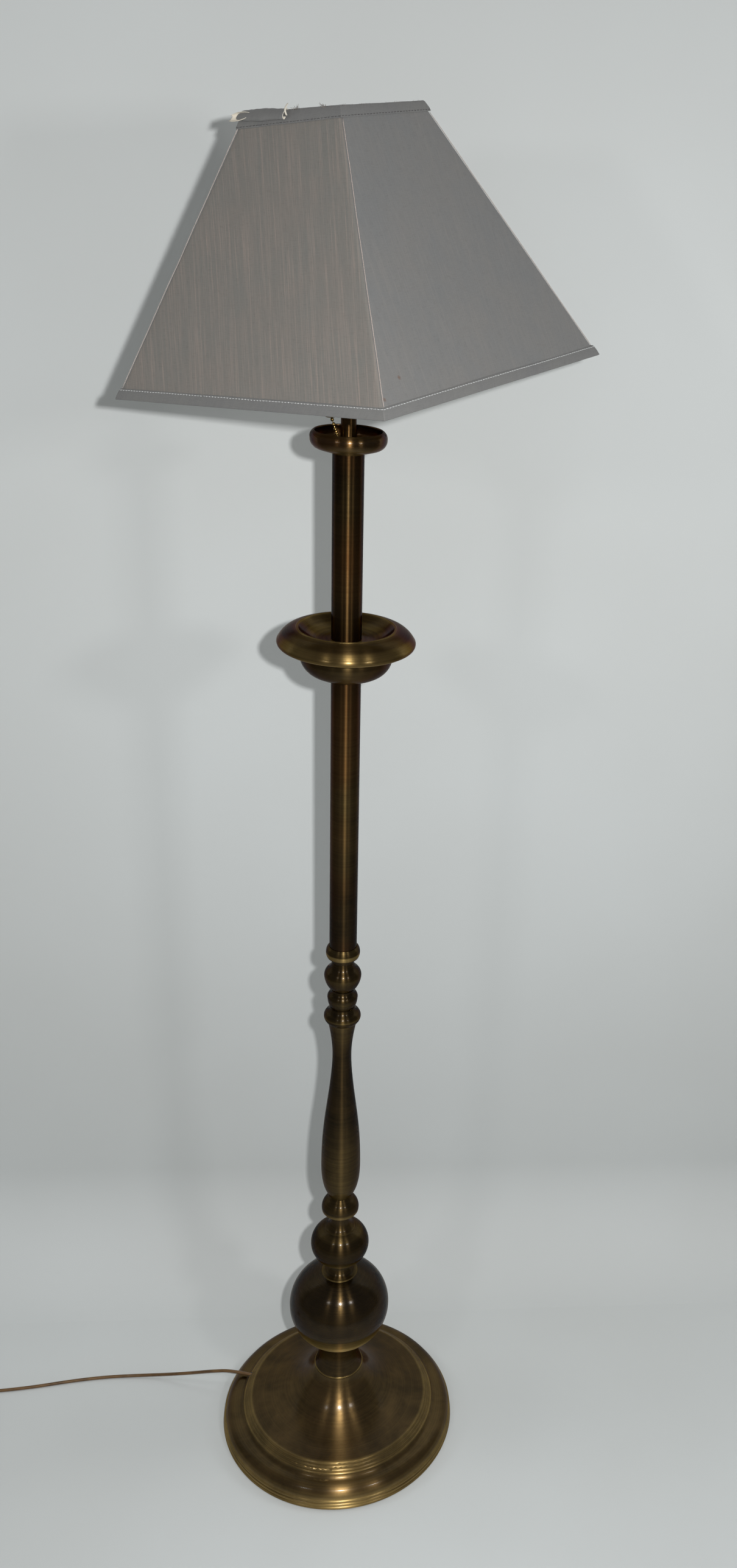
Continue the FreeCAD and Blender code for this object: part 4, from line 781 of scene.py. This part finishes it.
def make_frays():
    """Loose thread ends along the torn top edge: (side, place, width, count) of each clump."""
    paths = []
    whole = 0.5          # the width of a clump that is spread over its whole side
    clumps = [(2, 0.30, 0.05, 26), (2, 0.56, 0.025, 30), (2, 0.84, 0.016, 40), (3, 0.04, 0.05, 14)]
    clumps += [(side, 0.5, whole, 26) for side in range(4)]
    for side, at, width, count in clumps:
        for _ in range(count):
            u = min(max(at + random.gauss(0, 0.5) * width, 0.01), 0.99)
            if width == whole:
                u = random.uniform(0.02, 0.98)
            reach = random.uniform(0.0012, 0.0034) * (1.25 if width < 0.05 else 0.7)
            turn = random.uniform(-1.0, 1.0)
            start = on_side(side, u, SHADE_UP - 0.0010, 0.0004)
            along = (corner(side + 1, 0, 0) - corner(side, 0, 0)).normalized()
            out = Vector((along.y, -along.x, 0))
            tip = along * (turn * reach) + Vector((0, 0, reach * random.uniform(0.4, 1.1)))
            bend = out * (reach * random.uniform(-0.2, 0.6))
            paths.append([start, start + tip * 0.35 + bend * 0.2, start + tip * 0.7 + bend * 0.7,
                          start + tip + bend * 1.4])
    return new_piece("frays", thread_mesh("frays", paths, FRAY_R, 4))


# ---- cloth materials -------------------------------------------------------------------------
def woven(name, base, slub, cool, stains, slub_share):
    """Plain slubbed weave: fine warp and weft, thicker threads in places, painted shade between
    the threads, and slight soiling.

    stains lists (place, radius, colour, strength).
    """
    k = Kit(name)
    uv = k.coords.outputs["UV"]
    warp = k.noise(1.0, 2.0, 0.6, at=k.stretched((1900, 120, 1), uv))
    weft = k.noise(1.0, 2.0, 0.6, at=k.stretched((130, 1700, 1), uv))
    slubs = k.noise(1.0, 3.0, 0.7, at=k.stretched((760, 13, 1), uv))
    broad_slubs = k.noise(1.0, 3.0, 0.7, at=k.stretched((330, 7, 1), uv))
    cloudy = k.noise(26, 4.0, 0.65)
    colour = k.mix(k.remap(cloudy, 0.3, 0.7), base, cool)
    colour = k.mix(k.math("MULTIPLY", k.remap(slubs, 0.52, 0.72), slub_share), colour, slub)
    colour = k.mix(k.math("MULTIPLY", k.remap(broad_slubs, 0.5, 0.75), slub_share * 0.5), colour,
                   slub)
    threads = k.math("ADD", warp, k.math("MULTIPLY", weft, 0.8))
    # painted shade: a darker copy of the cloth colour goes where the weave is low, between the
    # threads
    dark = tuple(c * 0.55 for c in base)
    colour = k.mix(k.remap(threads, 0.55, 0.9, 0.38, 0.0), colour, dark)
    for at, size, tint, strength in stains:
        shift = k.node("ShaderNodeVectorMath", operation="DISTANCE")
        k.link(k.place, shift.inputs[0])
        shift.inputs[1].default_value = at
        spot = k.remap(k.math("ADD", shift.outputs["Value"],
                              k.math("MULTIPLY", k.noise(260, 3.0), size * 0.8)),
                       size * 1.25, size * 0.7)
        colour = k.mix(k.math("MULTIPLY", spot, strength), colour, tint)
    k.set(Base_Color=colour, Roughness=k.remap(slubs, 0.3, 0.7, 0.86, 0.94), Sheen_Weight=0.12,
          Sheen_Roughness=0.45, Specular_IOR_Level=0.25)
    height = k.math("ADD", k.math("MULTIPLY", threads, 0.6), k.math("MULTIPLY", slubs, 0.8))
    k.bump(height, 0.00022, 0.7)
    return k.mat


def lining():
    """Cream backing of the cloth."""
    k = Kit("lining")
    grain = k.noise(900, 3.0, 0.6)
    broad = k.noise(22, 3.0, 0.6)
    k.set(Base_Color=k.mix(k.remap(broad, 0.3, 0.7), (0.60, 0.55, 0.46), (0.70, 0.66, 0.57)),
          Roughness=0.8, Specular_IOR_Level=0.3)
    k.bump(grain, 0.00012, 0.6)
    return k.mat


def thread(name, dark, light):
    """Sewing thread or the cloth's own, with its twist."""
    k = Kit(name)
    ply = k.noise(1600, 2.0, 0.6)
    k.set(Base_Color=k.mix(k.remap(ply, 0.35, 0.65), dark, light), Roughness=0.8,
          Specular_IOR_Level=0.3)
    k.bump(ply, 0.00005, 0.6)
    return k.mat


def make_shade():
    cloths = [cloth_panel(side) for side in range(4)]
    hem, band = make_bindings()
    flap, tongue, tab = make_flap()
    seams = make_seams()
    frays = make_frays()
    low_line = stitch_row("hem_stitches", hem_line, BINDING_T, pitch=0.0032, length=0.0026,
                          radius=0.00034, lift=0.0002)
    top_line = stitch_row("band_stitches", band_line, BINDING_T, pitch=0.0034, length=0.0024,
                          radius=0.00028, lift=0.0002)
    back = lining()
    spot = PLACE @ on_side(3, 0.085, -SHADE_LOW + 0.0235, 0)
    low_spot = PLACE @ on_side(3, 0.012, -SHADE_LOW + 0.0125, 0)
    brownish = (0.12, 0.075, 0.055)
    warm = woven("cloth_warm", srgb(112, 108, 103), srgb(148, 133, 124), srgb(108, 107, 103),
                 [(low_spot, 0.0016, brownish, 0.7)], 0.6)
    cool = woven("cloth_cool", srgb(110, 109, 107), srgb(128, 123, 119), srgb(106, 107, 107),
                 [(spot, 0.0026, brownish, 0.75), (low_spot, 0.0020, brownish, 0.7)], 0.3)
    for piece, mat in zip(cloths, (cool, warm, warm, cool)):
        piece.data.materials.append(mat)
        piece.data.materials.append(back)
    tape = woven("hem_tape", srgb(107, 107, 105), srgb(124, 120, 116), srgb(102, 102, 102),
                 [], 0.2)
    for piece in (hem, band):
        piece.data.materials.append(tape)
    flap.data.materials.append(tape)
    flap.data.materials.append(back)
    for piece in (tongue, tab):
        piece.data.materials.append(back)
    seams.data.materials.append(thread("seam_thread", srgb(146, 136, 130), srgb(176, 164, 157)))
    frays.data.materials.append(thread("fray_thread", srgb(92, 90, 88), srgb(140, 134, 128)))
    low_line.data.materials.append(thread("pale_thread", srgb(158, 160, 160), srgb(196, 197, 196)))
    top_line.data.materials.append(thread("dark_thread", srgb(58, 56, 56), srgb(96, 94, 94)))


# ---- floor, backdrop and lights --------------------------------------------------------------
STAGE = 7.0              # half width of the paper
WALL_Y = 0.30
WALL_H = 3.2
COVE_R = 0.14
COVE_LIFT = 0.0003       # keeps the cove's foot clear of the floor


def paper(name):
    k = Kit(name)
    broad = k.noise(1.3, 3.0, 0.5)
    fine = k.noise(420, 3.0, 0.6)
    k.set(Base_Color=k.mix(k.remap(broad, 0.35, 0.65), srgb(197, 200, 199), srgb(205, 209, 209)),
          Roughness=0.9, Specular_IOR_Level=0.1)
    k.bump(fine, 0.0002, 0.2)
    return k


def make_stage_pieces():
    """Floor, and a wall with a cove that shows from the front only."""
    mesh = bpy.data.meshes.new("floor")
    mesh.from_pydata([(-STAGE, -STAGE, 0), (STAGE, -STAGE, 0), (STAGE, STAGE, 0),
                      (-STAGE, STAGE, 0)], [], [(0, 1, 2, 3)])
    floor = bpy.data.objects.new("floor", mesh)
    mesh.materials.append(paper("paper_floor").mat)
    k = paper("paper_wall")
    back = k.node("ShaderNodeNewGeometry")
    clear = k.node("ShaderNodeBsdfTransparent")
    choose = k.node("ShaderNodeMixShader")
    k.link(back.outputs["Backfacing"], choose.inputs[0])
    k.link(k.shader.outputs[0], choose.inputs[1])
    k.link(clear.outputs[0], choose.inputs[2])
    k.link(choose.outputs[0], k.out.inputs["Surface"])
    profile = [(WALL_Y - COVE_R, COVE_LIFT)]
    for i in range(1, 17):
        a = math.pi / 2 * i / 16
        profile.append((WALL_Y - COVE_R + COVE_R * math.sin(a),
                        COVE_R - COVE_R * math.cos(a) + COVE_LIFT))
    profile.append((WALL_Y, WALL_H))
    verts, faces = [], []
    for y, z in profile:
        verts += [(-STAGE, y, z), (STAGE, y, z)]
    for i in range(len(profile) - 1):
        faces.append((2 * i, 2 * i + 1, 2 * i + 3, 2 * i + 2))
    mesh = bpy.data.meshes.new("backdrop")
    mesh.from_pydata(verts, [], faces)
    mesh.polygons.foreach_set("use_smooth", [True] * len(mesh.polygons))
    mesh.materials.append(k.mat)
    wall = bpy.data.objects.new("backdrop", mesh)
    for o in (floor, wall):
        scene.collection.objects.link(o)


def lamp(name, at, aim, size, power, gloss=True):
    """Square area lamp; gloss False keeps it out of the reflections in the brass."""
    data = bpy.data.lights.new(name, "AREA")
    data.shape = "SQUARE"
    data.size = size
    data.energy = power
    o = bpy.data.objects.new(name, data)
    o.visible_glossy = gloss
    o.location = at
    o.rotation_mode = "QUATERNION"
    o.rotation_quaternion = (Vector(aim) - Vector(at)).to_track_quat("-Z", "Y")
    scene.collection.objects.link(o)


def make_lights():
    """One small hard lamp beside the camera, as the flash, and soft ones at the sides."""
    world = bpy.data.worlds.new("world")
    scene.world = world
    world.use_nodes = True
    back = world.node_tree.nodes["Background"]
    back.inputs[0].default_value = (1.0, 0.995, 0.98, 1)
    back.inputs[1].default_value = 0.21
    lamp("main", (0.078, -1.20, 1.45), (0.16, 0, 0.58), 0.022, 15.0)
    lamp("side_left", (-0.74, -1.12, 1.55), (0, 0, 0.5), 0.14, 1.6)
    lamp("side_right", (0.82, -1.12, 1.50), (0.1, 0, 0.3), 0.14, 3.4)
    lamp("rear_left", (-1.25, 0.10, 1.25), (0, -0.1, 0.9), 0.5, 3.2, False)
    lamp("rear_right", (1.25, 0.10, 1.25), (0, -0.1, 0.9), 0.5, 4.2, False)


dress_column()
dress_rest()
make_shade()
make_stage_pieces()
make_lights()
scene.view_settings.view_transform = "Standard"
